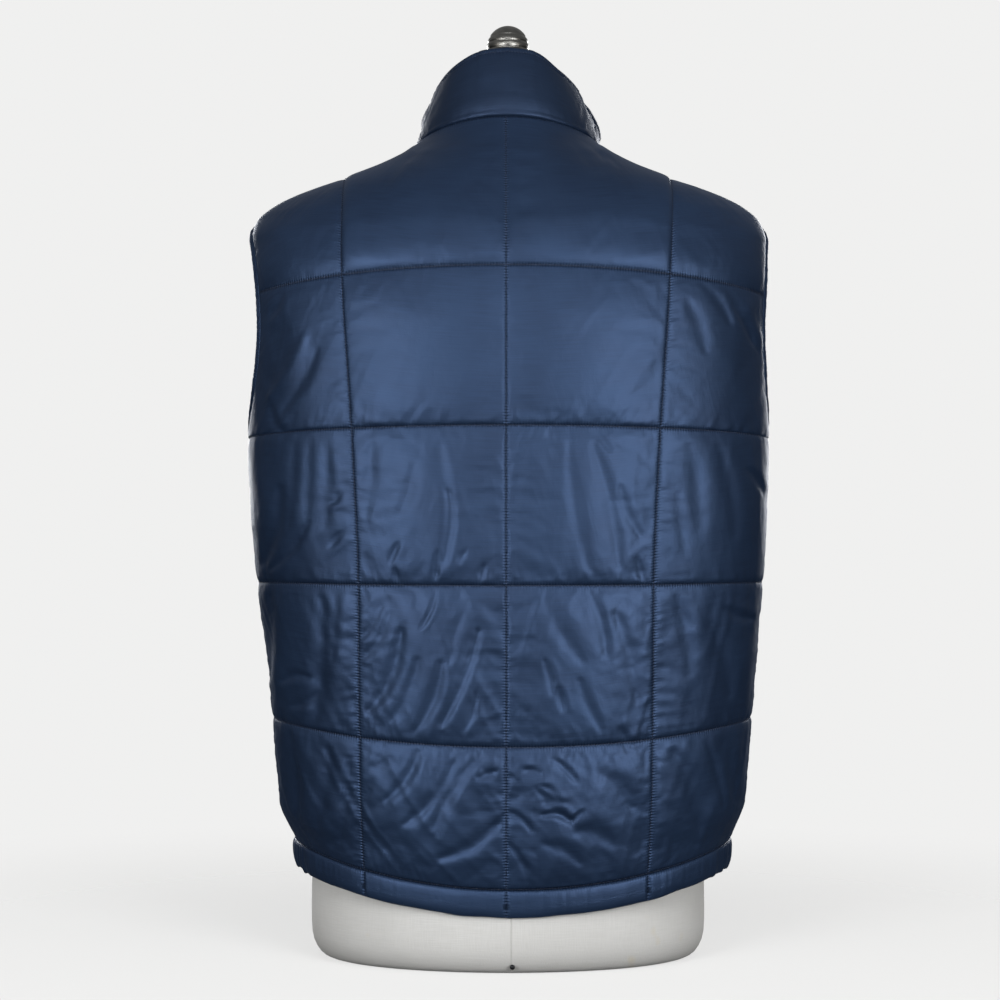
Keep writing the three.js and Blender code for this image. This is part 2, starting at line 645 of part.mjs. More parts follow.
// A tape lies under its front's flat strip from the hem up, then under the collar's front edge.
function tapeRings(path) {
  return path.map(({ node, next }, i) => {
    const before = path[Math.max(0, i - 1)].node.base;
    const along = path[Math.min(path.length - 1, i + 1)].node.base.clone().sub(before).normalize();
    const reach = new THREE.Vector3().crossVectors(along, node.out).normalize();
    if (reach.dot(next.base.clone().sub(node.base)) > 0) reach.negate();
    const edge = node.inner.clone().addScaledVector(node.out, -TAPE_GAP);
    const under = next.inner.clone().addScaledVector(next.out, -TAPE_GAP);
    const free = edge.clone().addScaledVector(reach, TAPE_REACH);
    return [
      free, edge, under,
      under.clone().addScaledVector(next.out, -TAPE_THICKNESS),
      edge.clone().addScaledVector(node.out, -TAPE_THICKNESS),
      free.clone().addScaledVector(node.out, -TAPE_THICKNESS),
    ];
  });
}

function edgeOf(rows, column = 0, inside = 1) {
  return rows.map((row) => ({ node: row[column], next: row[inside] }));
}
const lastColumn = collarRows[0].length - 1;
const tapes = {
  left: tapeRings([...edgeOf(casings.left).slice(1), ...edgeOf(grids.frontLeft).slice(1),
    ...edgeOf(collarRows)]),
  right: tapeRings([...edgeOf(casings.right).slice(1), ...edgeOf(grids.frontRight).slice(1),
    ...edgeOf(collarRows, lastColumn, lastColumn - 1)]),
};
addMesh('zip_tape_left', ringSolid(tapes.left, false), 'navyTape');
addMesh('zip_tape_right', ringSolid(tapes.right, false), 'navyTape');

// ---------------------------------------------------------------- zip hardware
const wasm = await Module();
wasm.setup();

function toSolid(geometry) {
  const bare = geometry.clone();
  bare.deleteAttribute('normal');
  bare.deleteAttribute('uv');
  const merged = mergeVertices(bare, 1e-4);
  return new wasm.Manifold(new wasm.Mesh({
    numProp: 3,
    vertProperties: merged.attributes.position.array,
    triVerts: new Uint32Array(merged.index.array),
  }));
}

function toGeometry(solid) {
  const mesh = solid.getMesh();
  const geometry = new THREE.BufferGeometry();
  geometry.setAttribute('position', new THREE.BufferAttribute(mesh.vertProperties, 3));
  geometry.setIndex(new THREE.BufferAttribute(mesh.triVerts, 1));
  geometry.computeVertexNormals();
  return geometry;
}

// A frame on the middle of the front: x to the wearer's right, y outwards and z up along the cloth.
function frontFrame(height) {
  const at = pointAtX(0, height, 'front');
  const out = outwardAt(at);
  const across = new THREE.Vector3(-1, 0, 0);
  const up = new THREE.Vector3().crossVectors(across, out);
  const frame = new THREE.Group();
  frame.matrix.makeBasis(across, out, up).setPosition(at);
  frame.matrix.decompose(frame.position, frame.quaternion, frame.scale);
  group.add(frame);
  return frame;
}

// An outline in x and z, with its thickness along y from low to high.
function slab(outline, low, high) {
  const settings = { depth: high - low, bevelEnabled: false, curveSegments: 5 };
  return new THREE.ExtrudeGeometry(outline, settings).rotateX(Math.PI / 2).translate(0, high, 0);
}

// A four-sided outline with round corners, wide at the top and narrower at the foot.
function roundedOutline(topHalf, footHalf, footZ, topZ, radius) {
  const shape = new THREE.Shape();
  const corners = [[-footHalf, footZ], [footHalf, footZ], [topHalf, topZ], [-topHalf, topZ]];
  corners.forEach(([x, z], i) => {
    const before = corners[(i + 3) % 4];
    const after = corners[(i + 1) % 4];
    const towards = ([tx, tz]) => {
      const length = Math.hypot(tx - x, tz - z);
      return [x + ((tx - x) / length) * radius, z + ((tz - z) / length) * radius];
    };
    const [ax, az] = towards(before);
    if (i === 0) shape.moveTo(ax, az);
    else shape.lineTo(ax, az);
    const [bx, bz] = towards(after);
    shape.quadraticCurveTo(x, z, bx, bz);
  });
  shape.closePath();
  return shape;
}

const STOP_Z = 90; // the bottom stop
const SLIDER = {
  halfTop: 4.9, halfFoot: 3.9, foot: -7, top: 6, plate: 1.6, frontFace: -0.3, backFace: -6.3,
};
const BAIL = { half: 1.1, reach: 4.8, opening: 3.4, height: 2.9, clear: 1.7 };
const PIVOT = { y: 0.75, z: -2.3, radius: 0.7 };
const TAB = { half: 3.3, endHalf: 2.7, length: 27, window: 8.2, windowHalf: 1.6, thickness: 1.2 };

function sliderGeometry() {
  const outline = roundedOutline(SLIDER.halfTop, SLIDER.halfFoot, SLIDER.foot, SLIDER.top, 1.2);
  const frontPlate = toSolid(slab(outline, SLIDER.frontFace - SLIDER.plate, SLIDER.frontFace));
  const backPlate = toSolid(slab(outline, SLIDER.backFace, SLIDER.backFace + SLIDER.plate));
  const depth = SLIDER.frontFace - SLIDER.backFace - SLIDER.plate;
  const post = new THREE.BoxGeometry(1.4, depth, 2.4);
  post.translate(0, (SLIDER.frontFace + SLIDER.backFace) / 2, SLIDER.top - 1.9);
  const bailHeight = BAIL.height - SLIDER.frontFace + SLIDER.plate / 2;
  const bail = new THREE.BoxGeometry(2 * BAIL.half, bailHeight, 2 * BAIL.reach);
  bail.translate(0, BAIL.height - bailHeight / 2, 0);
  const openingHeight = BAIL.clear - SLIDER.frontFace;
  const opening = new THREE.BoxGeometry(4 * BAIL.half, openingHeight, 2 * BAIL.opening);
  opening.translate(0, BAIL.clear - openingHeight / 2, 0);
  const arch = toSolid(bail).subtract(toSolid(opening));
  return toGeometry(frontPlate.add(backPlate).add(toSolid(post)).add(arch));
}

function pullTabGeometry() {
  const plate = roundedOutline(TAB.half, TAB.endHalf, -TAB.length, 0.2, 1.6);
  const low = -TAB.thickness / 2;
  const body = toSolid(slab(plate, low, -low));
  const cut = new THREE.BoxGeometry(2 * TAB.windowHalf, 4 * TAB.thickness, TAB.window);
  cut.translate(0, 0, -TAB.window / 2 - PIVOT.radius);
  const topCut = new THREE.BoxGeometry(2 * TAB.windowHalf, 4 * TAB.thickness, 2);
  topCut.translate(0, 0, 0.5);
  const bar = new THREE.CylinderGeometry(PIVOT.radius, PIVOT.radius, 2 * TAB.half - 1, 12);
  bar.rotateZ(Math.PI / 2);
  return toGeometry(body.subtract(toSolid(cut)).subtract(toSolid(topCut)).add(toSolid(bar)));
}

const sliderFrame = frontFrame(SLIDER_Z);
addMesh('zip_slider', sliderGeometry(), 'zinc', sliderFrame);
addMesh('zip_pull_tab', pullTabGeometry(), 'zinc', sliderFrame).position.set(0, PIVOT.y, PIVOT.z);
const bottomStop = slab(roundedOutline(3.6, 3.6, -3.2, 3.2, 0.8), -5.2, -1.6);
addMesh('zip_bottom_stop', bottomStop, 'zinc', frontFrame(STOP_Z));

// Each top stop is crimped on past the end of its tape, in line with it.
function topStop(rings) {
  const end = rings[rings.length - 1];
  const before = rings[rings.length - 2];
  const section = [end[0], end[0].clone().lerp(end[1], 0.55), end[5].clone().lerp(end[4], 0.55), end[5]];
  const along = end[0].clone().sub(before[0]).normalize();
  const middle = new THREE.Vector3();
  section.forEach((p) => middle.addScaledVector(p, 1 / section.length));
  const grown = section.map((p) => middle.clone().addScaledVector(p.clone().sub(middle), 1.3));
  const moved = (distance) => grown.map((p) => p.clone().addScaledVector(along, distance));
  return ringSolid([moved(TOP_STOP.gap), moved(TOP_STOP.gap + TOP_STOP.length)], false);
}
addMesh('zip_top_stop_left', topStop(tapes.left), 'zinc');
addMesh('zip_top_stop_right', topStop(tapes.right), 'zinc');

// ---------------------------------------------------------------- dress form
function formRing({ z, side, back, front }) {
  return Array.from({ length: FORM_SEGMENTS }, (_, k) => {
    const angle = (2 * Math.PI * k) / FORM_SEGMENTS;
    const power = (value) => Math.sign(value) * Math.abs(value) ** (2 / FORM_ROUND);
    const depth = Math.sin(angle) > 0 ? back : front;
    return new THREE.Vector3(side * power(Math.cos(angle)), depth * power(Math.sin(angle)), z);
  });
}
addMesh('form_torso', ringSolid(FORM_RINGS.map(formRing), false), 'linen');

const formTop = FORM_RINGS[FORM_RINGS.length - 1].z;
const plateFoot = formTop + SEAM_GAP;
const plateTop = plateFoot + PLATE.thickness;
const plateEdge = 2;
const lathe = (points) => {
  const profile = points.map(([radius, z]) => new THREE.Vector2(radius, z));
  return new THREE.LatheGeometry(profile, 24).rotateX(Math.PI / 2);
};
addMesh('form_neck_plate', lathe([
  [0, plateFoot], [PLATE.radius, plateFoot], [PLATE.radius, plateTop - plateEdge],
  [PLATE.radius - plateEdge, plateTop], [0, plateTop],
]), 'pewter');

function finialProfile() {
  const foot = plateTop + SEAM_GAP;
  const points = [[0, foot], ...FINIAL_FOOT.map(({ z, r }) => [r, foot + z])];
  const centre = FINIAL.top - FINIAL.radius;
  const domeStart = foot + FINIAL_FOOT[FINIAL_FOOT.length - 1].z;
  const steps = 18;
  for (let i = 1; i < steps; i += 1) {
    const z = lerp(domeStart, FINIAL.top, Math.sin((Math.PI / 2) * (i / steps)));
    const dome = z < centre ? FINIAL.radius : Math.sqrt(FINIAL.radius ** 2 - (z - centre) ** 2);
    const nearest = Math.min(...FINIAL.grooves.map((groove) => Math.abs(z - groove)));
    points.push([dome - FINIAL.groove * Math.exp(-(nearest ** 2) / 1.2), z]);
  }
  points.push([0, FINIAL.top]);
  return points;
}
addMesh('form_finial', lathe(finialProfile()), 'pewter');

// A tack head holds the cover's seam near the foot of the back.
function tackGeometry() {
  const read = (column) => smooth(FORM_RINGS, 'z', column, TACK.z);
  const share = Math.abs(TACK.x) / read('side');
  const surfaceY = read('back') * (1 - share ** FORM_ROUND) ** (1 / FORM_ROUND);
  const tack = new THREE.CylinderGeometry(TACK.radius * 0.6, TACK.radius, TACK.height, 12);
  return tack.translate(TACK.x, surfaceY + 1 + TACK.height / 2, TACK.z);
}
addMesh('form_tack', tackGeometry(), 'blackened');

export default group;
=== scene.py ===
# %% [markdown]
# # A quilted vest on a dress form
# A sleeveless padded vest stands on a tailor's form: navy satin nylon quilted in large cells,
# a stand collar, a front zip and a gathered hem over a cream linen torso with a turned finial.
# The construction model comes in as a fixed frame. Each cell below replaces its plain solids by
# finished cloth, thread and metal, in the same place and at the same size. The cut is written in
# millimetres, as a pattern cutter would, and every mesh is turned into metres as it is made.

import math

import bpy
import numpy as np
from mathutils import Matrix, Vector


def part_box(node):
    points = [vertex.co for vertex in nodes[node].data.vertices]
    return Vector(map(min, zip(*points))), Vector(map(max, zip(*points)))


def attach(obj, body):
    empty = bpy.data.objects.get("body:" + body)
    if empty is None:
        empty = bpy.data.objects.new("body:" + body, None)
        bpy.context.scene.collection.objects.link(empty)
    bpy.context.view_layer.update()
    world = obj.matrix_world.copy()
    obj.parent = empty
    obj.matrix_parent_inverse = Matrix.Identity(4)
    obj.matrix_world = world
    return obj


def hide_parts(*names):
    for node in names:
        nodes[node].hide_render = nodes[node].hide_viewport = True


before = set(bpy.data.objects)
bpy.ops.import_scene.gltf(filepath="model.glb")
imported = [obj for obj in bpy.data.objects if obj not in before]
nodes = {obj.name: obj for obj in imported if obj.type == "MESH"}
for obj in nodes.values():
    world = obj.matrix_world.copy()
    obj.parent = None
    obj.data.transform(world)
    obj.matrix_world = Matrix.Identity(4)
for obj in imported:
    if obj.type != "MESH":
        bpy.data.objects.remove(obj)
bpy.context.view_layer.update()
bpy.ops.object.select_all(action="DESELECT")
MM = 0.001
print("construction pieces:", len(nodes))

# %% [markdown]
# ## Camera
# A product photographer stands well back with a long lens, level with the middle of the garment,
# so that the straight quilting lines stay straight. The camera looks at the back of the vest.

# %% Place the camera
CAMERA = {"place": (0.007, 2.1, 0.345), "tilt": 1.44, "lens": 85.9}

bpy.ops.object.camera_add(
    location=CAMERA["place"], rotation=(math.radians(90 + CAMERA["tilt"]), 0, math.pi)
)
camera = bpy.context.object
camera.data.lens = CAMERA["lens"]
bpy.context.scene.camera = camera
print("camera at", CAMERA["place"], "with a", CAMERA["lens"], "mm lens")

# %% [markdown]
# ## Light
# Satin shows its folds by what it reflects, so a band of light at its own height, with darkness above
# and below it, gives every small tilt of the cloth its own tone. Two wide softboxes stand either side
# of the camera and two warm strips stand further out. A low one hangs over the camera for the
# shoulders, and a pair on the far side does the same for the front of the vest.

# %% Hang the softboxes
AIM = Vector((0, 0, 0.42))


def softbox(name, bearing, height, distance, size, power, warmth=0.0):
    """bearing is in degrees from straight behind the vest; height is in degrees above the middle."""
    turn, lift = math.radians(bearing), math.radians(height)
    way = Vector((math.sin(turn) * math.cos(lift), math.cos(turn) * math.cos(lift), math.sin(lift)))
    bpy.ops.object.light_add(type="AREA", location=AIM + way * distance)
    light = bpy.context.object
    light.name = name
    light.rotation_euler = (-way).to_track_quat("-Z", "Y").to_euler()
    light.data.shape = "RECTANGLE"
    light.data.size, light.data.size_y = size
    light.data.energy = power
    light.data.color = (1, 1 - 0.06 * warmth, 1 - 0.16 * warmth)
    light.visible_camera = False
    return light


SOFTBOXES = [
    ("key_left", 30, 4, 2.6, (1.1, 0.75), 32, 0.0),
    ("key_right", -30, 4, 2.6, (1.1, 0.75), 35, 0.0),
    ("strip_left", 54, 4, 2.6, (0.4, 0.9), 4, 1.0),
    ("strip_right", -54, 4, 2.6, (0.4, 0.9), 5, 1.0),
    ("over_camera", 0, 30, 2.6, (1.4, 0.5), 8, 0.0),
    ("front_left", 158, 10, 2.8, (1.1, 1.0), 30, 0.0),
    ("front_right", -158, 10, 2.8, (1.1, 1.0), 30, 0.0),
]
for row in SOFTBOXES:
    softbox(*row)
print("softboxes:", len(SOFTBOXES))

# %% [markdown]
# ## Writing finishes as sums
# A finish is a graph of nodes. Wiring hundreds of them by hand hides the idea, so a small class
# wraps a socket: adding or multiplying two wrapped sockets adds the Math node that does it.
# Everything else comes from one method that takes a node's type, its settings and its inputs.

# %% A small language for node graphs
class Wire:
    """A value that flows through a node graph."""

    def __init__(self, finish, socket):
        self.finish = finish
        self.socket = socket

    def math(self, operation, *others, **settings):
        inputs = dict(enumerate([self, *others]))
        return self.finish.add("ShaderNodeMath", {"operation": operation, **settings}, inputs)

    def __add__(self, other):
        return self.math("ADD", other)

    def __radd__(self, other):
        return self.math("ADD", other)

    def __sub__(self, other):
        return self.math("SUBTRACT", other)

    def __rsub__(self, other):
        return self.finish.add("ShaderNodeMath", {"operation": "SUBTRACT"}, {0: other, 1: self})

    def __mul__(self, other):
        return self.math("MULTIPLY", other)

    def __rmul__(self, other):
        return self.math("MULTIPLY", other)

    def __truediv__(self, other):
        return self.math("DIVIDE", other)

    def __pow__(self, other):
        return self.math("POWER", other)

    def sine(self):
        return self.math("SINE")

    def size(self):
        return self.math("ABSOLUTE")

    def between(self, low, high, start=0.0, end=1.0):
        """A smooth ramp from start, at low, to end, at high."""
        inputs = {"Value": self, "From Min": low, "From Max": high, "To Min": start, "To Max": end}
        return self.finish.add("ShaderNodeMapRange", {"interpolation_type": "SMOOTHSTEP"}, inputs)


class Finish:
    """A material, and the graph of nodes that makes it."""

    def __init__(self, name):
        self.material = bpy.data.materials.new(name)
        self.material.use_nodes = True
        self.tree = self.material.node_tree
        self.tree.nodes.clear()

    def add(self, kind, settings=None, inputs=None, out=0):
        """One node. Its settings go first, because they decide which sockets it has."""
        node = self.tree.nodes.new(kind)
        for key, value in (settings or {}).items():
            if key == "stops":
                for spare in list(node.color_ramp.elements)[1:]:
                    node.color_ramp.elements.remove(spare)
                for place, colour in value:
                    first = place == value[0][0]
                    stop = node.color_ramp.elements[0] if first else node.color_ramp.elements.new(place)
                    stop.position, stop.color = place, (*colour, 1)
            else:
                setattr(node, key, value)
        for key, value in (inputs or {}).items():
            socket = node.inputs[key]
            if isinstance(value, Wire):
                self.tree.links.new(value.socket, socket)
            elif socket.type == "RGBA" and len(value) == 3:
                socket.default_value = (*value, 1)
            else:
                socket.default_value = value
        return Wire(self, node.outputs[out])

    def place(self, scale=(1, 1, 1), uv=False):
        """Points of the piece, from its own flat map or from where it stands."""
        points = self.add("ShaderNodeTexCoord", out="UV" if uv else "Object")
        return self.add("ShaderNodeMapping", {}, {"Vector": points, "Scale": scale})

    def axes(self, points):
        split = self.add("ShaderNodeSeparateXYZ", {}, {"Vector": points})
        return [Wire(self, split.socket.node.outputs[k]) for k in range(3)]

    def noise(self, points, scale=1.0, detail=2.0, rough=0.5, warp=0.0):
        inputs = {
            "Vector": points, "Scale": scale, "Detail": detail, "Roughness": rough, "Distortion": warp,
        }
        return self.add("ShaderNodeTexNoise", {}, inputs)

    def attribute(self, name):
        return self.add("ShaderNodeAttribute", {"attribute_name": name}, {}, "Fac")

    def tint(self, share, low, high):
        settings = {"data_type": "RGBA", "blend_type": "MIX"}
        node = self.add("ShaderNodeMix", settings, {"Factor": share}).socket.node
        for socket, colour in zip([s for s in node.inputs if s.type == "RGBA"], (low, high)):
            if isinstance(colour, Wire):
                self.tree.links.new(colour.socket, socket)
            else:
                socket.default_value = (*colour, 1)
        return Wire(self, [s for s in node.outputs if s.type == "RGBA"][0])

    def bump(self, height, depth_mm, under=None):
        """height is 1 for depth_mm of relief; under is the bump that this one lies on."""
        inputs = {"Height": height, "Distance": depth_mm * MM, "Strength": 1.0}
        if under is not None:
            inputs["Normal"] = under
        return self.add("ShaderNodeBump", {}, inputs)

    def surface(self, **sockets):
        """The closing shader. Underscores stand for the spaces in a socket's name."""
        named = {key.replace("_", " "): value for key, value in sockets.items()}
        shader = self.add("ShaderNodeBsdfPrincipled", {}, named)
        self.add_output(shader)
        return self.material

    def add_output(self, shader):
        output = self.tree.nodes.new("ShaderNodeOutputMaterial")
        self.tree.links.new(shader.socket, output.inputs["Surface"])


print("node helpers ready")

# %% [markdown]
# ## Floor and background
# The studio is a pale sweep. The camera sees a plain pale world, while the cloth sees one that is dim
# overhead and dark below, so the softboxes keep their say. The floor is a round sheet whose edge
# fades out, so it has no horizon from any side. It is mostly evened out, as white paper under its own
# light is, which leaves a faint shadow at the form's foot, and it throws little light back up.

# %% Lay the floor
PALE = (0.87, 0.87, 0.865)
FLOOR_DROP = 0.0004


def studio_world(overhead):
    world = bpy.data.worlds.new("studio")
    bpy.context.scene.world = world
    world.use_nodes = True
    tree = world.node_tree
    tree.nodes.clear()

    def add(kind, *links):
        node = tree.nodes.new("ShaderNode" + kind)
        for slot, source in links:
            tree.links.new(source, node.inputs[slot])
        return node

    way = add("SeparateXYZ", (0, add("TexCoord").outputs["Generated"]))
    climb = add("MapRange", (0, way.outputs["Z"]))
    for slot, value in enumerate((-0.15, 0.5, 0.0, overhead), 1):
        climb.inputs[slot].default_value = value
    dim = add("Background", ("Strength", climb.outputs[0]))
    seen = add("Background")
    for light in (dim, seen):
        light.inputs["Color"].default_value = (*PALE, 1)
    rays = add("LightPath")
    sources = (rays.outputs["Is Camera Ray"], dim.outputs[0], seen.outputs[0])
    blend = add("MixShader", *enumerate(sources))
    add("OutputWorld", ("Surface", blend.outputs[0]))


def studio_floor(radius, solid, evenness):
    below = (0, 0, -FLOOR_DROP)
    bpy.ops.mesh.primitive_circle_add(vertices=96, radius=radius, fill_type="NGON", location=below)
    floor = bpy.context.object
    floor.name = "studio_floor"
    bpy.ops.object.transform_apply(location=True)
    finish = Finish("studio_floor")
    x, y, _ = finish.axes(finish.place())
    away = (x * x + y * y) ** 0.5
    speck = finish.noise(finish.place(), 400, 2.0)
    colour = finish.tint(speck, (0.70, 0.70, 0.695), (0.74, 0.74, 0.735))
    lit = finish.add("ShaderNodeBsdfDiffuse", {}, {"Color": colour, "Roughness": 1.0})
    even = finish.add("ShaderNodeEmission", {}, {"Color": (*PALE, 1), "Strength": 1.0})
    pale = finish.add("ShaderNodeMixShader", {}, {0: evenness, 1: lit, 2: even})
    dark = finish.add("ShaderNodeBsdfDiffuse", {}, {"Color": (0.10, 0.10, 0.10, 1), "Roughness": 1.0})
    seen = finish.add("ShaderNodeLightPath", {}, {}, "Is Camera Ray")
    matt = finish.add("ShaderNodeMixShader", {}, {0: seen, 1: dark, 2: pale})
    clear = finish.add("ShaderNodeBsdfTransparent")
    mixed = finish.add("ShaderNodeMixShader", {}, {0: away.between(solid, radius), 1: matt, 2: clear})
    finish.add_output(mixed)
    floor.data.materials.append(finish.material)


studio_world(overhead=0.3)
studio_floor(radius=1.1, solid=0.25, evenness=0.72)
bpy.context.scene.view_settings.view_transform = "Standard"
print("floor and background ready")

# %% [markdown]
# ## The cut
# The garment hangs as a tube. Short tables give its half widths and depths at a few heights, and the
# heights of the quilting lines at the middle of the back, the sides and the middle of the front.
# A smooth curve through each column gives every height in between, so the numbers stay few.

# %% Read the cut from short tables
def table(columns, text):
    """A table with named columns, a row on each line."""
    rows = np.array([[float(v) for v in line.split()] for line in text.split("\n") if line.strip()])
    return dict(zip(columns.split(), rows.T))


SECTIONS = table("z side back front round lean", """
     40   184    122.5  121    2.20   -4
     81   188    125.5  123    2.20   -4
    104   190    128    126    2.20   -4
    135   200    131    130    2.25   -3.5
    209   208    135    134    2.30   -3.5
    326   220    139    136    2.35   -2
    390   225    140.5  137    2.40   -1
    451   227    141    137    2.40   -0.5
    540   227    140    133    2.40    0
    590   228.5  135    126    2.35    0
    622   228    126    117    2.25    0
    640   221    118    110    2.20    0
    653   206    112    104    2.15    0
    688   113     95     86    2.05    0
    704    86     86     78    2.00    0
    712    79     82     74    2.00    0
    723    75     77     69    2.00    0
    740    72     72     64    2.00    0
""")
SIDE_LINES = table("z out", """
     50   117
    191   121
    324   122
    456   128
    589   137
    677   140
""")
LINES = table("back side front", """
     73    104   109
    191    209   212
    324    326   327
    456    451   452
    589    572   580
""")
HEM_EDGE = {"back": 50, "side": 81, "front": 86}
CENTRE_BACK_X = 2
ZIP_EDGE = 5.5
SLIDER_Z = 604
SHOULDER_LINE_X, SHOULDER_TIP_Z = 140, 640
NECK_X, NECK_Z, NECK_BACK_Z = 80, 710, 723
FRONT_NECK_X, FRONT_NECK_Z = 50, 672
ARMPIT_Z = 451
ARMHOLE_BREADTH = {(1, "back"): 64, (1, "front"): 70, (-1, "back"): 48, (-1, "front"): 66}
LEFT, RIGHT = 1, -1
SIDES = {"left": LEFT, "right": RIGHT}


def mix(a, b, share):
    return a + (b - a) * share


def smooth(rows, by, column, at):
    """A curve through a table's column that never overshoots its rows."""
    x, y = rows[by], rows[column]
    slope = np.diff(y) / np.diff(x)
    product = slope[:-1] * slope[1:]
    total = np.where(product > 0, slope[:-1] + slope[1:], 1)
    inner = np.where(product > 0, 2 * product / total, 0)
    steep = np.concatenate([slope[:1], inner, slope[-1:]])
    at = np.clip(at, x[0], x[-1])
    i = np.clip(np.searchsorted(x, at, side="right") - 1, 0, len(x) - 2)
    width = x[i + 1] - x[i]
    t = (at - x[i]) / width
    start = (2 * t**3 - 3 * t**2 + 1) * y[i] + (t**3 - 2 * t**2 + t) * width * steep[i]
    return start + (3 * t**2 - 2 * t**3) * y[i + 1] + (t**3 - t**2) * width * steep[i + 1]


def section(z):
    return {key: smooth(SECTIONS, "z", key, z) for key in ("side", "back", "front", "round", "lean")}


print("sections:", len(SECTIONS["z"]), "quilting lines:", len(LINES["back"]))

# %% [markdown]
# ## Points on the worn surface
# A level section is a superellipse, which is a circle pulled out at its corners. A point on it is
# found either from how far it is to the side or from how far it is to the back or front. The
# outward direction at a point comes from the slope of the superellipse, in all three directions.

# %% Points and outward directions
def point_at_x(x, z, facing):
    s = section(z)
    share = np.minimum(1, np.abs(x - s["lean"]) / s["side"])
    depth = s[facing] * np.maximum(0, 1 - share ** s["round"]) ** (1 / s["round"])
    return np.stack(np.broadcast_arrays(x, depth if facing == "back" else -depth, z), -1)


def point_at_depth(depth, z, facing, hand):
    s = section(z)
    share = np.minimum(1, depth / s[facing])
    out = s["side"] * (1 - share ** s["round"]) ** (1 / s["round"])
    y = depth if facing == "back" else -depth
    return np.stack(np.broadcast_arrays(s["lean"] + hand * out, y, z), -1)


def level(p):
    """1 on the surface, more outside it."""
    s = section(p[..., 2])
    depth = np.where(p[..., 1] > 0, s["back"], s["front"])
    across = np.abs(p[..., 0] - s["lean"]) / s["side"]
    return across ** s["round"] + (np.abs(p[..., 1]) / depth) ** s["round"]


def outward(p):
    """The direction straight out of the surface, from how fast level changes."""
    slopes = [level(p + step) - level(p - step) for step in 0.5 * np.eye(3)]
    slopes = np.stack(slopes, -1)
    return slopes / np.linalg.norm(slopes, axis=-1, keepdims=True)


def armhole_depth(z, facing, hand):
    half = (SHOULDER_TIP_Z - ARMPIT_Z) / 2
    share = (z - ARMPIT_Z - half) / half
    return ARMHOLE_BREADTH[hand, facing] * np.sqrt(np.maximum(0, 1 - share**2))


def front_edge_x(z):
    """A front's edge runs along the zip, then falls open above the slider."""
    share = np.maximum(0, (z - SLIDER_Z) / (FRONT_NECK_Z - SLIDER_Z))
    return ZIP_EDGE + (FRONT_NECK_X - ZIP_EDGE) * share**1.25


print("armhole half breadths:", sorted(ARMHOLE_BREADTH.values()))

# %% [markdown]
# ## Rows and columns of a half panel
# Each half of the back, and each front, is two columns of cells wide. A place on it is written as
# `across`: 0 at the middle, 1 on the side quilting line and 2 at the side seam or armhole. The outer
# column is measured along the curve of the body, so its cells keep their width round the side.

# %% Walk across a half panel
def across_point(across, z, facing, hand):
    back = facing == "back"
    middle = CENTRE_BACK_X + 0 * z if back else hand * front_edge_x(z)
    line = (CENTRE_BACK_X if back else 0) + hand * smooth(SIDE_LINES, "z", "out", z)
    inner = point_at_x(mix(middle, line, np.minimum(across, 1)), z, facing)
    s = section(z)
    edge_depth = np.where(z > ARMPIT_Z, armhole_depth(z, facing, hand), 0)
    line_depth = np.abs(point_at_x(line, z, facing)[..., 1])
    bend = s["round"] / 2
    turn = [np.arccos(np.minimum(1, d / s[facing]) ** bend) for d in (line_depth, edge_depth)]
    angle = mix(turn[0][..., None], turn[1][..., None], np.linspace(0, 1, 25))
    depth = s[facing][..., None] * np.cos(angle) ** (2 / s["round"][..., None])
    arc = point_at_depth(depth, z[..., None] + 0 * depth, facing, hand)
    steps = np.linalg.norm(np.diff(arc, axis=-2), axis=-1)
    length = np.concatenate([0 * steps[..., :1], np.cumsum(steps, -1)], -1)
    target = (np.clip(across, 1, 2) - 1) * length[..., -1]
    k = np.clip((length < target[..., None]).sum(-1), 1, 24)
    low, high = [np.take_along_axis(length, i[..., None], -1)[..., 0] for i in (k - 1, k)]
    share = ((target - low) / np.maximum(high - low, 1e-9))[..., None]
    start, end = [np.take_along_axis(arc, i[..., None, None], -2)[..., 0, :] for i in (k - 1, k)]
    return np.where((across <= 1)[..., None], inner, mix(start, end, share))


def line_point(line, across, facing, hand):
    """A point of a line that dips from its height at the sides to its height in the middle."""
    p = across_point(across, line[facing] + 0 * across, facing, hand)
    for _ in range(5):
        s = section(p[..., 2])
        share = np.minimum(1, np.abs(p[..., 0] - s["lean"]) / s["side"])
        p = across_point(across, mix(line[facing], line["side"], share**2), facing, hand)
    return p


def between_lines(band, share):
    ends = [{key: LINES[key][i] for key in LINES} for i in (band, band + 1)]
    return {key: mix(ends[0][key], ends[1][key], share) for key in LINES}


print("half panels are walked from 0, in the middle, to 2, at the edge")

# %% [markdown]
# ## The yoke
# The top row of cells ends on two seams: the neck seam, then the shoulder seam out to its tip. Its
# columns crowd together below the neck, so each one runs from its place on the top quilting line to
# its own place on those seams, and the outermost one bends round the armhole.

# %% Seams at the top, and the yoke below them
NECK_SHARE = 5 / 7
_heights = np.linspace(623, NECK_Z + 10, 400)
_half_widths = smooth(SECTIONS, "z", "side", _heights)
TIP_X = float(smooth(SECTIONS, "z", "side", np.array(SHOULDER_TIP_Z)))


def ridge_height(out):
    """The height of the shoulder seam at a distance from the middle."""
    return np.interp(-out, -_half_widths, _heights)


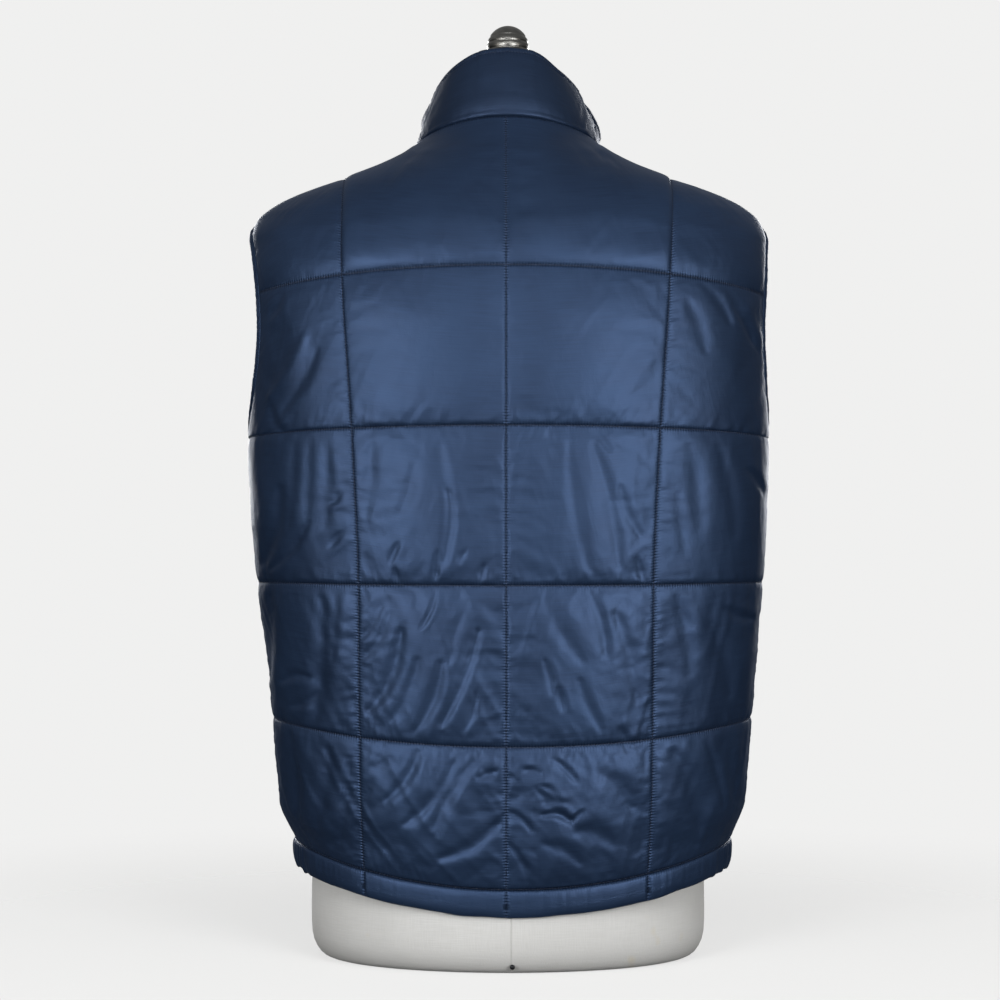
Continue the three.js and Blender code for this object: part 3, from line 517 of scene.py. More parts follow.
def neck_seam(share, facing, hand):
    back = facing == "back"
    start_angle = 0 if back else math.asin(FRONT_NECK_X / NECK_X)
    angle = mix(start_angle, math.pi / 2, share)
    out = np.sin(angle)
    if back:
        z = mix(NECK_BACK_Z, NECK_Z, out**2)
    else:
        z = NECK_Z - (NECK_Z - FRONT_NECK_Z) * np.cos(angle) / math.cos(start_angle)
    start = CENTRE_BACK_X * (1 - share) if back else 0
    p = point_at_x(start + hand * NECK_X * out, z, facing)
    p[..., 1] = np.where(share >= 1, 0, p[..., 1])
    return p


def top_point(step, facing, hand):
    """step runs to NECK_SHARE along the neck seam, to 1 at the side line and to 2 at the tip."""
    neck = neck_seam(np.minimum(step / NECK_SHARE, 1), facing, hand)
    on_yoke = mix(NECK_X, SHOULDER_LINE_X, (step - NECK_SHARE) / (1 - NECK_SHARE))
    out = np.where(step <= 1, on_yoke, mix(SHOULDER_LINE_X, TIP_X, step - 1))
    ridge = np.stack([hand * out, 0 * out, ridge_height(out)], -1)
    return np.where((step <= NECK_SHARE)[..., None], neck, ridge)


def yoke_point(across, step, up, facing, hand):
    line = {key: LINES[key][4] for key in LINES}
    foot = line_point(line, across, facing, hand)
    top = top_point(step, facing, hand)
    crowd = 1 + np.minimum(1, step / NECK_SHARE) ** 2
    rise = 1 - (1 - up) ** crowd
    z = mix(foot[..., 2], top[..., 2], rise)
    x = mix(foot[..., 0], top[..., 0], rise)
    if facing == "front":
        straight = mix(ZIP_EDGE, FRONT_NECK_X, rise)
        x = x + hand * (front_edge_x(z) - straight) * np.maximum(0, 1 - across) ** 2
    edge_foot = line_point(line, 2 + 0 * across, facing, hand)
    climb = (z - edge_foot[..., 2]) / (SHOULDER_TIP_Z - edge_foot[..., 2])
    straight = mix(edge_foot[..., 0], hand * TIP_X, climb)
    edge = point_at_depth(armhole_depth(z, facing, hand), z, facing, hand)
    bend = (across > 1) & (z < SHOULDER_TIP_Z)
    x = np.where(bend, x + (edge[..., 0] - straight) * np.maximum(0, across - 1) ** 2, x)
    p = np.where(((across >= 2) & bend)[..., None], edge, point_at_x(x, z, facing))
    return np.where((up >= 1)[..., None], top, p)


print("shoulder tips at", round(TIP_X), "mm from the middle")

# %% [markdown]
# ## A grid of cloth
# The simulation needs an even grid of about 3.5 mm, with a row along each quilting line and a column
# along each vertical one. The grid is worked out once at that spacing and then refined between the
# lines, never across them, so the seams stay sharp.

# %% Lay out the grids
INNER_STEPS, OUTER_STEPS = 36, 28
BAND_STEPS = [34, 36, 36, 36, 38]
ZIP_STRIP = 0.075
LINE_ROWS = np.concatenate([[0], np.cumsum(BAND_STEPS)])
SEAM_GAP = 0.3
# along the top edge of a front, the columns beside the flat strip crowd a little
NECK_STRIP = ZIP_STRIP + (1 - ZIP_STRIP) * NECK_SHARE
STRIP_TO_SEAM = ([0, ZIP_STRIP, NECK_STRIP, 1, 2], [0, ZIP_STRIP, NECK_SHARE, 1, 2])


def half_columns(facing):
    if facing == "front":
        cells = mix(ZIP_STRIP, 1, np.linspace(0, 1, INNER_STEPS + 1))
        inner = np.concatenate([[0, ZIP_STRIP / 2], cells])
    else:
        inner = np.linspace(0, 1, INNER_STEPS + 1)
    return np.concatenate([inner, 1 + np.linspace(0, 1, OUTER_STEPS + 1)[1:]])


def half_panel(facing, hand):
    """Base points, from the hem stitch up and from the middle out."""
    columns = half_columns(facing)
    steps = columns if facing == "back" else np.interp(columns, *STRIP_TO_SEAM)
    rows = []
    for band, count in enumerate(BAND_STEPS):
        up = np.arange(0 if band == 0 else 1, count + 1) / count
        up, across = np.meshgrid(up, columns, indexing="ij")
        if band == len(BAND_STEPS) - 1:
            rows.append(yoke_point(across, steps + 0 * up, up, facing, hand))
        else:
            crowd = 1 + 1.6 * np.maximum(0, across - 1) ** 2 if band == 3 else 1
            rows.append(line_point(between_lines(band, up**crowd), across, facing, hand))
    points = np.concatenate(rows)
    on_side = np.abs(points[..., 1]) < 0.01
    points[..., 1] += np.where(on_side, (1 if facing == "back" else -1) * SEAM_GAP / 2, 0)
    points[0, :, 2] += SEAM_GAP / 2
    return points


def refine(field, axis, breaks):
    """Doubles a grid along one axis with a cubic that doesn't look across the breaks."""
    a = np.moveaxis(field, axis, 0)
    out = np.empty((2 * len(a) - 1, *a.shape[1:]))
    out[::2] = a
    for first, last in zip(breaks[:-1], breaks[1:]):
        s = a[first : last + 1]
        middle = (s[:-1] + s[1:]) / 2
        if len(s) > 3:
            middle[1:-1] = (9 * (s[1:-2] + s[2:-1]) - s[:-3] - s[3:]) / 16
            middle[0] = (3 * s[0] + 6 * s[1] - s[2]) / 8
            middle[-1] = (3 * s[-1] + 6 * s[-2] - s[-3]) / 8
        out[2 * first + 1 : 2 * last + 1 : 2] = middle
    return np.moveaxis(out, 0, axis)


class Panel:
    """A grid of cloth, with the rows and columns that its seams lie on."""

    def __init__(self, name, facing, halves):
        self.name, self.facing = name, facing
        inner, outer = INNER_STEPS, OUTER_STEPS
        if len(halves) == 2:
            left, right = halves
            self.points = np.concatenate([left[:, :0:-1], right], 1)
            self.columns = np.array([0, outer, outer + inner, outer + 2 * inner, 2 * (outer + inner)])
            self.outer_cells = (0, 3)
            self.strip = None
        else:
            self.points = halves[0]
            self.columns = np.array([0, 2, 2 + inner, 2 + inner + outer])
            self.outer_cells = (2,)
            self.strip = 0
        self.rows = LINE_ROWS.copy()
        self.moved = np.zeros_like(self.points)
        self.fine = 1

    def refined(self):
        """Twice as fine, with what the simulation moved carried over."""
        for axis, breaks in ((0, self.rows), (1, self.columns)):
            self.points = refine(self.points, axis, breaks)
            self.moved = refine(self.moved, axis, breaks)
        self.rows, self.columns = self.rows * 2, self.columns * 2
        self.fine *= 2
        self.measure()

    def measure(self):
        """Outward directions, and each point's distance in mm from the four sides of its cell."""
        self.out = outward(self.points)
        self.band = np.clip(np.searchsorted(self.rows, np.arange(len(self.points)), "right") - 1, 0, 4)
        count = self.points.shape[1]
        cell = np.searchsorted(self.columns, np.arange(count), "right") - 1
        self.cell = np.clip(cell, 0, len(self.columns) - 2)
        self.u, self.v = [self.lengths(axis) for axis in (1, 0)]
        self.left = self.u - self.u[:, self.columns[self.cell]]
        self.right = self.u[:, self.columns[self.cell + 1]] - self.u
        self.below = self.v - self.v[self.rows[self.band]]
        self.above = self.v[self.rows[self.band + 1]] - self.v

    def lengths(self, axis):
        steps = np.linalg.norm(np.diff(self.points, axis=axis), axis=-1)
        first = np.zeros_like(np.take(steps, [0], axis))
        return np.concatenate([first, np.cumsum(steps, axis)], axis)


HALVES = {(f, h): half_panel(f, h) for f in ("back", "front") for h in (LEFT, RIGHT)}
panels = {
    "back": Panel("back", "back", [HALVES["back", LEFT], HALVES["back", RIGHT]]),
    "front_left": Panel("front_left", "front", [HALVES["front", LEFT]]),
    "front_right": Panel("front_right", "front", [HALVES["front", RIGHT]]),
}
for panel in panels.values():
    panel.measure()
    print(panel.name, "grid", panel.points.shape[:2])

# %% [markdown]
# ## How far the wadding stands out
# Between its stitched sides a cell rises like a flat mattress. Gravity pulls the wadding down, so the
# foot of each cell turns under steeply while its top rises gently, and the vertical seams are pulled in
# less than the level ones. A rise that starts steep and levels off is one minus a falling exponential
# of the distance. The yoke lies on the shoulders, so its wadding slides down and swells its foot.

# %% Raise the pillows
# for each row of cells from the hem up: how far it stands out, how many mm its foot and top take to
# rise, and how much of the settling below it keeps
FULLNESS = table("middle side foot top settle", """
    3.8   2.6   14   12   0.42
    2.4   1.6    5   14   0.32
    2.0   1.2    4   16   0.28
    2.0   1.2    4   18   0.25
    5.6   2.8   12   62   0.20
""")
SIDE_RISE = {"seam": 3.6, "edge": 5.0}
SEAM_PULL = 0.5
INWARD_SHARE = 0.22
WALL = 2.5


def rise(distance, reach):
    return 1 - np.exp(-np.maximum(distance, 0) / reach)


def beside(distance, at_edge):
    """How far the cloth has risen at a distance from a vertical seam, or from the panel's own edge."""
    seam = 1 - SEAM_PULL * np.exp(-distance / SIDE_RISE["seam"])
    return np.where(at_edge[None], rise(distance, SIDE_RISE["edge"]), seam)


def pillow(panel):
    """0 on the level stitching and at the edges, and nearly 1 in the middle of a cell."""
    foot, top = [FULLNESS[key][panel.band][:, None] for key in ("foot", "top")]
    shape = rise(panel.below, foot) * rise(panel.above, top)
    first = panel.cell == (0 if panel.strip is None else 1)
    last = panel.cell == len(panel.columns) - 2
    shape = shape * beside(panel.left, first) * beside(panel.right, last)
    if panel.strip is not None:
        shape = np.where(panel.cell[None] == panel.strip, 0, shape)
    return shape


def fullness(panel):
    outer = np.isin(panel.cell, panel.outer_cells)[None]
    side, middle = [FULLNESS[key][panel.band][:, None] for key in ("side", "middle")]
    return np.where(outer, side, middle)


print("fullest cell stands out", FULLNESS["middle"].max(), "mm")

# %% [markdown]
# ## Letting the cloth settle
# A quilted shell is cut a little larger than its lining, and the extra cloth gathers into soft
# puckers that nobody can place by hand. Blender's cloth simulation finds them: the seams are pinned,
# the cloth is given some ease, and a light pressure stands for the wadding. Only the difference that
# the simulation makes is kept, so the pillows keep the height they were given.

# %% Simulate the ease
EASE = {"middle": 0.018, "side": 0.012}
CLOTH = {"frames": 12, "quality": 3, "pressure": 3.0, "tension": 30.0, "bending": 0.05, "mass": 0.3}


def pinned(panel):
    pins = np.zeros(panel.points.shape[:2], bool)
    pins[panel.rows] = True
    pins[:, panel.columns] = True
    if panel.strip is not None:
        pins[:, : panel.columns[1] + 1] = True
    return pins


def grid_faces(shape, first=0, flip=False):
    i = first + np.arange(shape[0] * shape[1]).reshape(shape)
    quads = np.stack([i[:-1, :-1], i[:-1, 1:], i[1:, 1:], i[1:, :-1]], -1).reshape(-1, 4)
    return quads[:, ::-1] if flip else quads


def facing_in(points, out):
    """Whether a grid's faces, taken row by row, would point inwards."""
    middle = (points.shape[0] // 2, points.shape[1] // 2)
    across = points[middle[0], middle[1] + 1] - points[middle]
    up = points[middle[0] + 1, middle[1]] - points[middle]
    return float(np.cross(across, up) @ out[middle]) < 0


def settle(group):
    """Runs one simulation of all the panels and keeps what it moved."""
    starts = [p.points + p.out * (fullness(p) * pillow(p))[..., None] for p in group]
    faces, first = [], 0
    for p in group:
        faces.append(grid_faces(p.points.shape[:2], first, facing_in(p.points, p.out)))
        first += p.points[..., 0].size
    mesh = bpy.data.meshes.new("settling")
    flat = np.concatenate([s.reshape(-1, 3) for s in starts])
    mesh.from_pydata((flat * MM).tolist(), [], np.concatenate(faces).tolist())
    cloth = bpy.data.objects.new("settling", mesh)
    bpy.context.scene.collection.objects.link(cloth)
    pins = np.nonzero(np.concatenate([pinned(p).ravel() for p in group]))[0]
    cloth.vertex_groups.new(name="pins").add(pins.tolist(), 1.0, "REPLACE")
    side = [np.broadcast_to(np.isin(p.cell, p.outer_cells), p.points.shape[:2]).ravel() for p in group]
    slack = cloth.vertex_groups.new(name="slack")
    loose = np.nonzero(np.concatenate(side))[0]
    slack.add(loose.tolist(), 1 - EASE["side"] / EASE["middle"], "REPLACE")
    modifier = cloth.modifiers.new("Cloth", "CLOTH")
    rules = modifier.settings
    rules.quality, rules.mass, rules.air_damping = CLOTH["quality"], CLOTH["mass"], 1.0
    rules.tension_stiffness = rules.compression_stiffness = CLOTH["tension"]
    rules.shear_stiffness = CLOTH["tension"] / 3
    rules.bending_stiffness = CLOTH["bending"]
    rules.vertex_group_mass = "pins"
    rules.use_pressure, rules.uniform_pressure_force = True, CLOTH["pressure"]
    rules.vertex_group_shrink = "slack"
    rules.shrink_min, rules.shrink_max = -EASE["middle"], 0.0
    rules.effector_weights.gravity = 0
    modifier.collision_settings.use_collision = False
    modifier.point_cache.frame_end = CLOTH["frames"]
    for number in range(1, CLOTH["frames"] + 1):
        bpy.context.scene.frame_set(number)
    settled = cloth.evaluated_get(bpy.context.evaluated_depsgraph_get())
    place = np.empty(3 * len(mesh.vertices))
    settled.data.vertices.foreach_get("co", place)
    moved = place.reshape(-1, 3) / MM - flat
    bpy.data.objects.remove(cloth)
    bpy.context.scene.frame_set(1)
    first = 0
    for p in group:
        size = p.points[..., 0].size
        p.moved = moved[first : first + size].reshape(p.points.shape)
        first += size


settle(list(panels.values()))
for panel in panels.values():
    travel = np.linalg.norm(panel.moved, axis=-1)
    mean, most = [round(float(value), 2) for value in (travel.mean(), travel.max())]
    print(panel.name, "settled by", mean, "to", most, "mm")
    panel.refined()

# %% [markdown]
# ## Puckers along the stitching
# Every seam takes up a little more cloth than its thread is long, so small creases stand across it
# and fade within a fingertip. They are made from uneven noise along the seam: the size of a noise
# has sharp troughs and round crests, which is the shape of a pucker. Several sizes are laid together.

# %% Uneven noise in one and two directions
dice = np.random.default_rng(11)


def uneven(at, spacing):
    """Smooth random values along a line, from about -1 to 1."""
    at = at / spacing + 8
    knots = dice.uniform(-1, 1, int(np.max(at)) + 16)
    i = np.floor(at).astype(int)
    t = at - i
    t = t * t * (3 - 2 * t)
    return mix(knots[i], knots[i + 1], t)


def patchy(u, v, size_u, size_v):
    """The same over a surface, with patches of that size."""
    u, v = u / size_u, v / size_v
    u, v = u - u.min() + 1, v - v.min() + 1
    knots = dice.uniform(-1, 1, (int(v.max()) + 3, int(u.max()) + 3))
    i, j = np.floor(v).astype(int), np.floor(u).astype(int)
    a, b = v - i, u - j
    a, b = [t * t * (3 - 2 * t) for t in (a, b)]
    return mix(mix(knots[i, j], knots[i, j + 1], b), mix(knots[i + 1, j], knots[i + 1, j + 1], b), a)


# spacing and reach of the puckers in mm, and their depth at lines and at columns
PUCKERS = table("spacing reach line column", """
     3.4    2.4   0.60  0.36
     5.6    4.2   0.68  0.38
    10      7     0.42  0.24
    21     14     0.36  0.20
""")
# the lower lines are the most puckered; the top one is almost clean
LINE_PUCKER = [0.9, 1.25, 1.15, 1.1, 0.45, 0.5]
SIDE_LADDER = 2.2


def puckers(panel):
    """Height to take off, in mm, from the creases that stand across the seams."""
    total = np.zeros(panel.points.shape[:2])
    for side, other in ((panel.below, 0), (panel.above, 1)):
        strength = np.array(LINE_PUCKER)[panel.band + other][:, None]
        for spacing, reach, depth in zip(PUCKERS["spacing"], PUCKERS["reach"], PUCKERS["line"]):
            lean = uneven(panel.u, 40) * side * 0.5
            wave = np.abs(uneven(panel.u + lean, spacing)) - 0.5
            fade = (side / reach) * np.exp(1 - side / reach)
            gaps = np.clip(0.75 + 0.6 * uneven(panel.u, 26), 0, 1.3)
            total += depth * strength * fade * wave * gaps * (1.0 if other == 0 else 0.7)
    lower = np.clip(1.3 - panel.band / 4, 0.35, 1.2)[:, None]
    # beside the side line it is the outer cell that takes up the slack
    ladder = np.where(np.isin(panel.cell, panel.outer_cells), SIDE_LADDER, 1.0)[None]
    for side, other in ((panel.left, 0), (panel.right, 1)):
        for spacing, reach, depth in zip(PUCKERS["spacing"], PUCKERS["reach"], PUCKERS["column"]):
            lean = uneven(panel.v, 50) * side * 0.5
            wave = np.abs(uneven(panel.v + lean, spacing)) - 0.5
            fade = (side / reach) * np.exp(1 - side / reach)
            gaps = np.clip(0.7 + 0.7 * uneven(panel.v, 34), 0, 1.3)
            total += depth * ladder * lower * fade * wave * gaps
    if panel.strip is not None:
        total = np.where(panel.cell[None] == panel.strip, 0, total)
    return total


print("pucker sizes:", len(PUCKERS["spacing"]))

# %% [markdown]
# ## Folds placed one by one
# The largest folds are where the eye goes, so they are placed one by one, as a dressmaker would note
# them: where each starts and ends on the back, how far it bows, and how wide and deep it is. A fold
# is a soft trough with a lower crest beside it. The fronts have a shorter list of their own.

# %% Fold tables
BACK_FOLDS = table("x0 z0 x1 z1 bow width depth", """
     59 320   71 290   2  2.0  1.5
     88 286  115 220   6  6.0  2.2
     55 260   76 205   4  5.0  1.8
     25 286   55 210   3  4.2  2.0
    105 307  122 280   2  4.0  1.0
     98 300  122 262   3  5.0  1.0
     74 262   95 214   3  5.5  1.2
     38 300   48 262  -2  5.0  0.9
     27 236   36 206   2  3.0  1.3
    -30 318  -60 262  -3  7.0  1.3
    -68 318  -80 268   2  5.0  1.5
    -30 262  -36 236   1  3.2  1.6
    -41 240  -45 222   0  3.0  1.6
    -88 300 -104 232   3  7.0  1.6
    -92 206  -98 190   0  4.0  1.8
    -58 246  -76 206  -2  4.5  1.2
     55 444   49 400  -3  6.0  1.0
     49 400   58 334   5  4.5  1.5
     58 352   60 329   0  2.2  1.6
     77 421   90 382   2  5.5  0.8
    112 438  118 378   0  6.0  0.9
     91 358   97 344   0  3.0  1.3
     93 338   91 327   0  2.4  1.4
     36 352   41 344   0  3.0  1.0
     20 341   23 328   0  2.6  1.3
    -50 438  -66 338  -3  6.0  1.1
    -70 438  -90 340   4  6.0  1.3
    -92 404 -108 366  -3  5.0  1.3
    -73 452  -83 436   0  3.5  1.4
    -34 452  -36 441   0  3.0  1.2
   -106 345 -110 329   0  4.0  1.4
     74 186   99 148   4  5.0  2.1
     45 178   84 128   5  5.5  2.0
     23 184   62 126  -4  5.0  1.7
     10 172   25 166   0  3.0  1.3
      4 134   56 100   5  5.5  2.1
     40 160   58 120  -3  6.0  1.3
    -14 173  -26 170   1  2.6  1.3
    -38 181  -55 164   1  2.4  1.8
     -1 138  -19 123   2  2.8  1.9
     -1 110  -16  80   3  3.5  2.0
    -28 136  -51 131   3  3.0  2.2
    -51 131  -60 139   0  2.4  1.8
    -56 122  -84 112   4  8.0  2.0
    -78 168 -112 106   8 12.0  2.4
    -22 158  -47 146  -3  3.0  1.4
    -30 146  -52 128   2  4.0  1.6
    -30 112  -58  96   3  6.0  1.6
    -26 160  -40 150   2  2.4  1.3
    -62 704  -80 684   2  3.0  0.9
    -72 694  -92 676   2  3.0  0.8
    -54 700  -68 676   1  4.0  0.6
     66 702   84 682  -2  4.0  0.6
     84 686  100 660  -2  5.0  0.7
""")
print("folds on the back:", len(BACK_FOLDS["x0"]))

# %% More fold tables
SIDE_FOLDS = table("x0 z0 x1 z1 bow width depth", """
    170 531  200 484   4  7.0 -1.8
    160 520  190 470   3  5.0  1.2
    190 569  202 552   1  4.0  1.6
    200 474  188 448  -2  4.0  1.5
    192 404  208 343   4  7.0  2.4
    140 400  147 392   1  3.0  1.6
    139 367  148 356   0  3.0  1.4
    167 376  200 338   3  4.0  1.8
    150 448  152 372   1  4.0  0.8
    165 446  168 380   0  4.0  0.9
    180 444  184 372   2  4.5  0.9
    155 312  162 205   3  7.0  2.4
    204 314  208 243   3  7.0  2.2
    142 320  145 262   0  4.0  1.2
    167 247  190 243  -3  4.0  1.7
    160 233  182 222   2  4.0  1.4
    184 197  178 122   3  5.0  2.0
    150 186  160 124   3  7.0  2.2
    132 180  140 110   2  4.0  1.2
   -162 577 -186 545   3  4.5  1.8
   -183 574 -209 531   3  4.5  1.7
   -189 560 -213 525   1  3.5  1.3
   -150 560 -164 520   2  6.0  1.0
   -203 421 -218 403   1  4.0  1.6
   -150 440 -160 372   2  6.0  1.0
   -176 440 -190 366   3  6.0  1.3
   -140 400 -146 350   0  4.0  1.0
   -183 304 -207 295  -2  4.0  1.8
   -140 314 -150 250   3  6.0  1.5
   -170 290 -186 232   3  7.0  1.8
   -165 193 -180 137   2  3.0  1.6
   -138 184 -160 122   4  9.0  2.4
   -186 182 -192 140   0  5.0  1.6
""")
FRONT_FOLDS = table("x0 z0 x1 z1 bow width depth", """
     96 186   62 128  -5  6.0  2.0
     60 180   30 140  -3  4.5  1.6
    112 178   98 122   3  6.0  1.8
     34 150   22 116   0  3.5  1.4
    104 316   84 232  -5  7.0  1.8
     74 290   52 226  -3  5.0  1.6
     46 312   38 262   2  5.0  1.2
    112 262   98 218   2  4.0  1.4
     92 440   84 372   3  6.5  1.2
     58 420   50 350  -3  6.0  1.2
     32 352   26 332   0  2.6  1.3
    104 360   98 336   0  3.2  1.4
     70 570   66 500   3  8.0  0.9
    116 560  106 492  -3  7.0  0.9
     88 650   70 604   4  7.0  1.2
    150 312  158 214   3  7.0  1.9
    186 300  190 236   2  6.0  1.6
    150 182  156 122   2  7.0  1.9
    184 440  192 368   3  7.0  1.6
    156 446  160 380   0  5.0  1.0
    172 560  186 492   4  7.0  1.4
""")


def fold_depth(x, z, folds):
    """The folds' depth in mm at each point of a panel, seen square on."""
    total = np.zeros_like(x)
    for x0, z0, x1, z1, bow, width, depth in zip(*folds.values()):
        run, climb = x1 - x0, z1 - z0
        length = math.hypot(run, climb)
        along = ((x - x0) * run + (z - z0) * climb) / length**2
        within = np.clip(along, 0, 1)
        aside = ((x - x0) * climb - (z - z0) * run) / length - bow * 4 * within * (1 - within)
        beyond = (along - within) * length
        swell = 0.55 + 1.8 * within * (1 - within)
        trough = np.exp(-(aside**2 + beyond**2) / (width * swell) ** 2)
        crest = np.exp(-((aside - 1.7 * width) ** 2 + beyond**2) / (1.2 * width) ** 2)
        total += depth * (trough - 0.4 * crest) * (0.7 + 1.2 * within * (1 - within))
    return total


print("folds on the side cells and each front:", len(SIDE_FOLDS["x0"]), len(FRONT_FOLDS["x0"]))

# %% [markdown]
# ## Soft folds everywhere else
# Between the named folds the satin is never quite flat. Long faint folds run down each cell, steeper
# in the upper cells and slanting in the lower ones, and get deeper towards the hem. Stretched noise
# along a slanting direction gives them, and a second, finer layer adds the crinkle of thin nylon.

# %% Faint folds and crinkle
LEAN = table("slant depth ripple", """
    0.55  1.00  0.22
    0.42  0.75  0.14
    0.22  0.46  0.10
    0.12  0.22  0.06
    0.10  0.18  0.06
""")


def soft_folds(panel):
    side = np.where(panel.cell < len(panel.columns) // 2, 1, -1)[None]
    if panel.facing == "front":
        side = -1 + 0 * panel.u
    slant = LEAN["slant"][panel.band][:, None] * side
    across, along = panel.u + slant * panel.v, panel.v
    long_ones = patchy(across, along, 13, 70)
    wide_ones = patchy(across, along, 34, 90)
    fine = np.abs(patchy(panel.u - slant * panel.v, panel.v, 7, 19)) - 0.4
    ripple = np.abs(patchy(panel.u + panel.v, panel.v - panel.u, 9, 13)) - 0.4
    depth, small = [LEAN[key][panel.band][:, None] for key in ("depth", "ripple")]
    return depth * (np.abs(long_ones) - 0.4 + 0.8 * wide_ones) + small * (fine + ripple)


FOLD_SHARE = 0.9


def relief(panel):
    """Everything that stands out from the stitching's surface, in mm."""
    shape = pillow(panel)
    x, z = panel.points[..., 0], panel.points[..., 2]
    if panel.facing == "back":
        folds = fold_depth(x, z, BACK_FOLDS) + fold_depth(x, z, SIDE_FOLDS)
    else:
        hand = LEFT if panel.name == "front_left" else RIGHT
        shift = 0 if hand == LEFT else 9
        folds = fold_depth(hand * x, z + shift, FRONT_FOLDS)
    loose = np.minimum(1, 1.25 * shape)
    return fullness(panel) * shape - loose * (FOLD_SHARE * folds + soft_folds(panel)) - puckers(panel)


print("fold directions:", LEAN["slant"])

# %% [markdown]
# ## From grid to closed shell
# A panel is one closed body: a fine outer face, a plain inner face a wall's thickness behind it, and
# a rim that joins them. The inner face hardly shows, so it takes every fourth row and column, and
# the rim is a fan of triangles between the two. Distances along the cloth become the flat map that
# the weave is drawn in, in metres, and closeness to a seam is kept as an attribute for the finish.

# %% Build a shell
INNER_STRIDE = 4
STITCH_PITCH = 2.4


def rim_faces(fine, coarse, stride):
    """Triangles between two loops of points; the coarse one has every stride-th point."""
    faces = []
    count = len(fine)
    half = stride // 2
    for k in range(len(coarse)):
        start, here, there = k * stride, coarse[k], coarse[(k + 1) % len(coarse)]
        for j in range(stride):
            a, b = fine[(start + j) % count], fine[(start + j + 1) % count]
            faces.append((b, a, here if j < half else there))
        faces.append((here, there, fine[(start + half) % count]))
    return faces


def edge_loop(shape, first=0):
    i = first + np.arange(shape[0] * shape[1]).reshape(shape)
    return np.concatenate([i[0, :-1], i[:-1, -1], i[-1, :0:-1], i[:0:-1, 0]]).tolist()


def add_object(name, points, faces, finish, smooth_faces=True):
    """points in mm; the piece's place stays in its mesh."""
    mesh = bpy.data.meshes.new(name)
    mesh.from_pydata((np.asarray(points) * MM).tolist(), [], faces)
    mesh.polygons.foreach_set("use_smooth", [smooth_faces] * len(mesh.polygons))
    mesh.materials.append(finish)
    piece = bpy.data.objects.new(name, mesh)
    bpy.context.scene.collection.objects.link(piece)
    return piece


def flat_map(piece, u, v):
    """The cloth's own flat map, in metres."""
    corners = np.empty(len(piece.data.loops), int)
    piece.data.loops.foreach_get("vertex_index", corners)
    layer = piece.data.uv_layers.new(name="flat")
    layer.data.foreach_set("uv", (np.stack([u, v], -1)[corners] * MM).ravel())


FAR = 99.0


# closeness to a seam; the satin darkens its colour by it as painted shade in the grooves, and shapes
# its groove bump by it
def closeness(piece, name, distance, reach=1.5):
    layer = piece.data.attributes.new(name, "FLOAT", "POINT")
    layer.data.foreach_set("value", np.exp(-distance / reach).astype(np.float32))


def panel_shell(panel, finish):
    outer = panel.points + panel.out * relief(panel)[..., None]
    kept = FULLNESS["settle"][panel.band][:, None] * np.minimum(1, 2 * pillow(panel))
    outer = outer + panel.moved * kept[..., None]
    stride = INNER_STRIDE
    inwards = WALL + INWARD_SHARE * fullness(panel) * pillow(panel)
    inner = (panel.points - panel.out * inwards[..., None])[::stride, ::stride]
    first = outer[..., 0].size
    fine_loop = edge_loop(outer.shape[:2])
    coarse_loop = edge_loop(inner.shape[:2], first)
    faces = grid_faces(outer.shape[:2]).tolist()
    faces += grid_faces(inner.shape[:2], first, flip=True).tolist()
    faces += rim_faces(fine_loop, coarse_loop, stride)
    if facing_in(panel.points, panel.out):
        faces = [face[::-1] for face in faces]
    points = np.concatenate([outer.reshape(-1, 3), inner.reshape(-1, 3)])
    piece = add_object(panel.name + "_cloth", points, faces, finish)
    across = panel.u
    if panel.facing == "back":
        across = across - panel.u[:, panel.columns[len(panel.columns) // 2]][:, None]
    both = [np.concatenate([a.ravel(), a[::stride, ::stride].ravel()]) for a in (across, panel.v)]
    flat_map(piece, *both)
    inner_far = np.full(inner[..., 0].size, FAR)
    to_line = np.minimum(panel.below, panel.above).ravel()
    to_column = np.minimum(panel.left, panel.right).ravel()
    closeness(piece, "near_line", np.concatenate([to_line, inner_far]))
    closeness(piece, "near_column", np.concatenate([to_column, inner_far]))
    panel.surface = outer
    return piece


print("inner faces take every", INNER_STRIDE, "rows and columns")

# %% [markdown]
# ## Navy satin
# Satin nylon is smooth filament yarn: its highlights are broad, soft and nearly as blue as the cloth,
# and fine level streaks show where single yarns catch the light. Much of the reflection is tinted, as
# on a metal, and the rest is plain dye. The bump holds the yarn streaks, long faint creases that lean
# outwards as they climb, a fine crinkle, and the small dimples that each stitch pulls beside a seam.

# %% Mix the navy satin
NAVY = (0.0247, 0.0527, 0.1195)
NAVY_DARK = (0.0170, 0.0360, 0.0845)
# the colour that stands in for the shade in the stitched grooves: painted shade
NAVY_SEAM_SHADE = (0.0060, 0.0120, 0.0280)


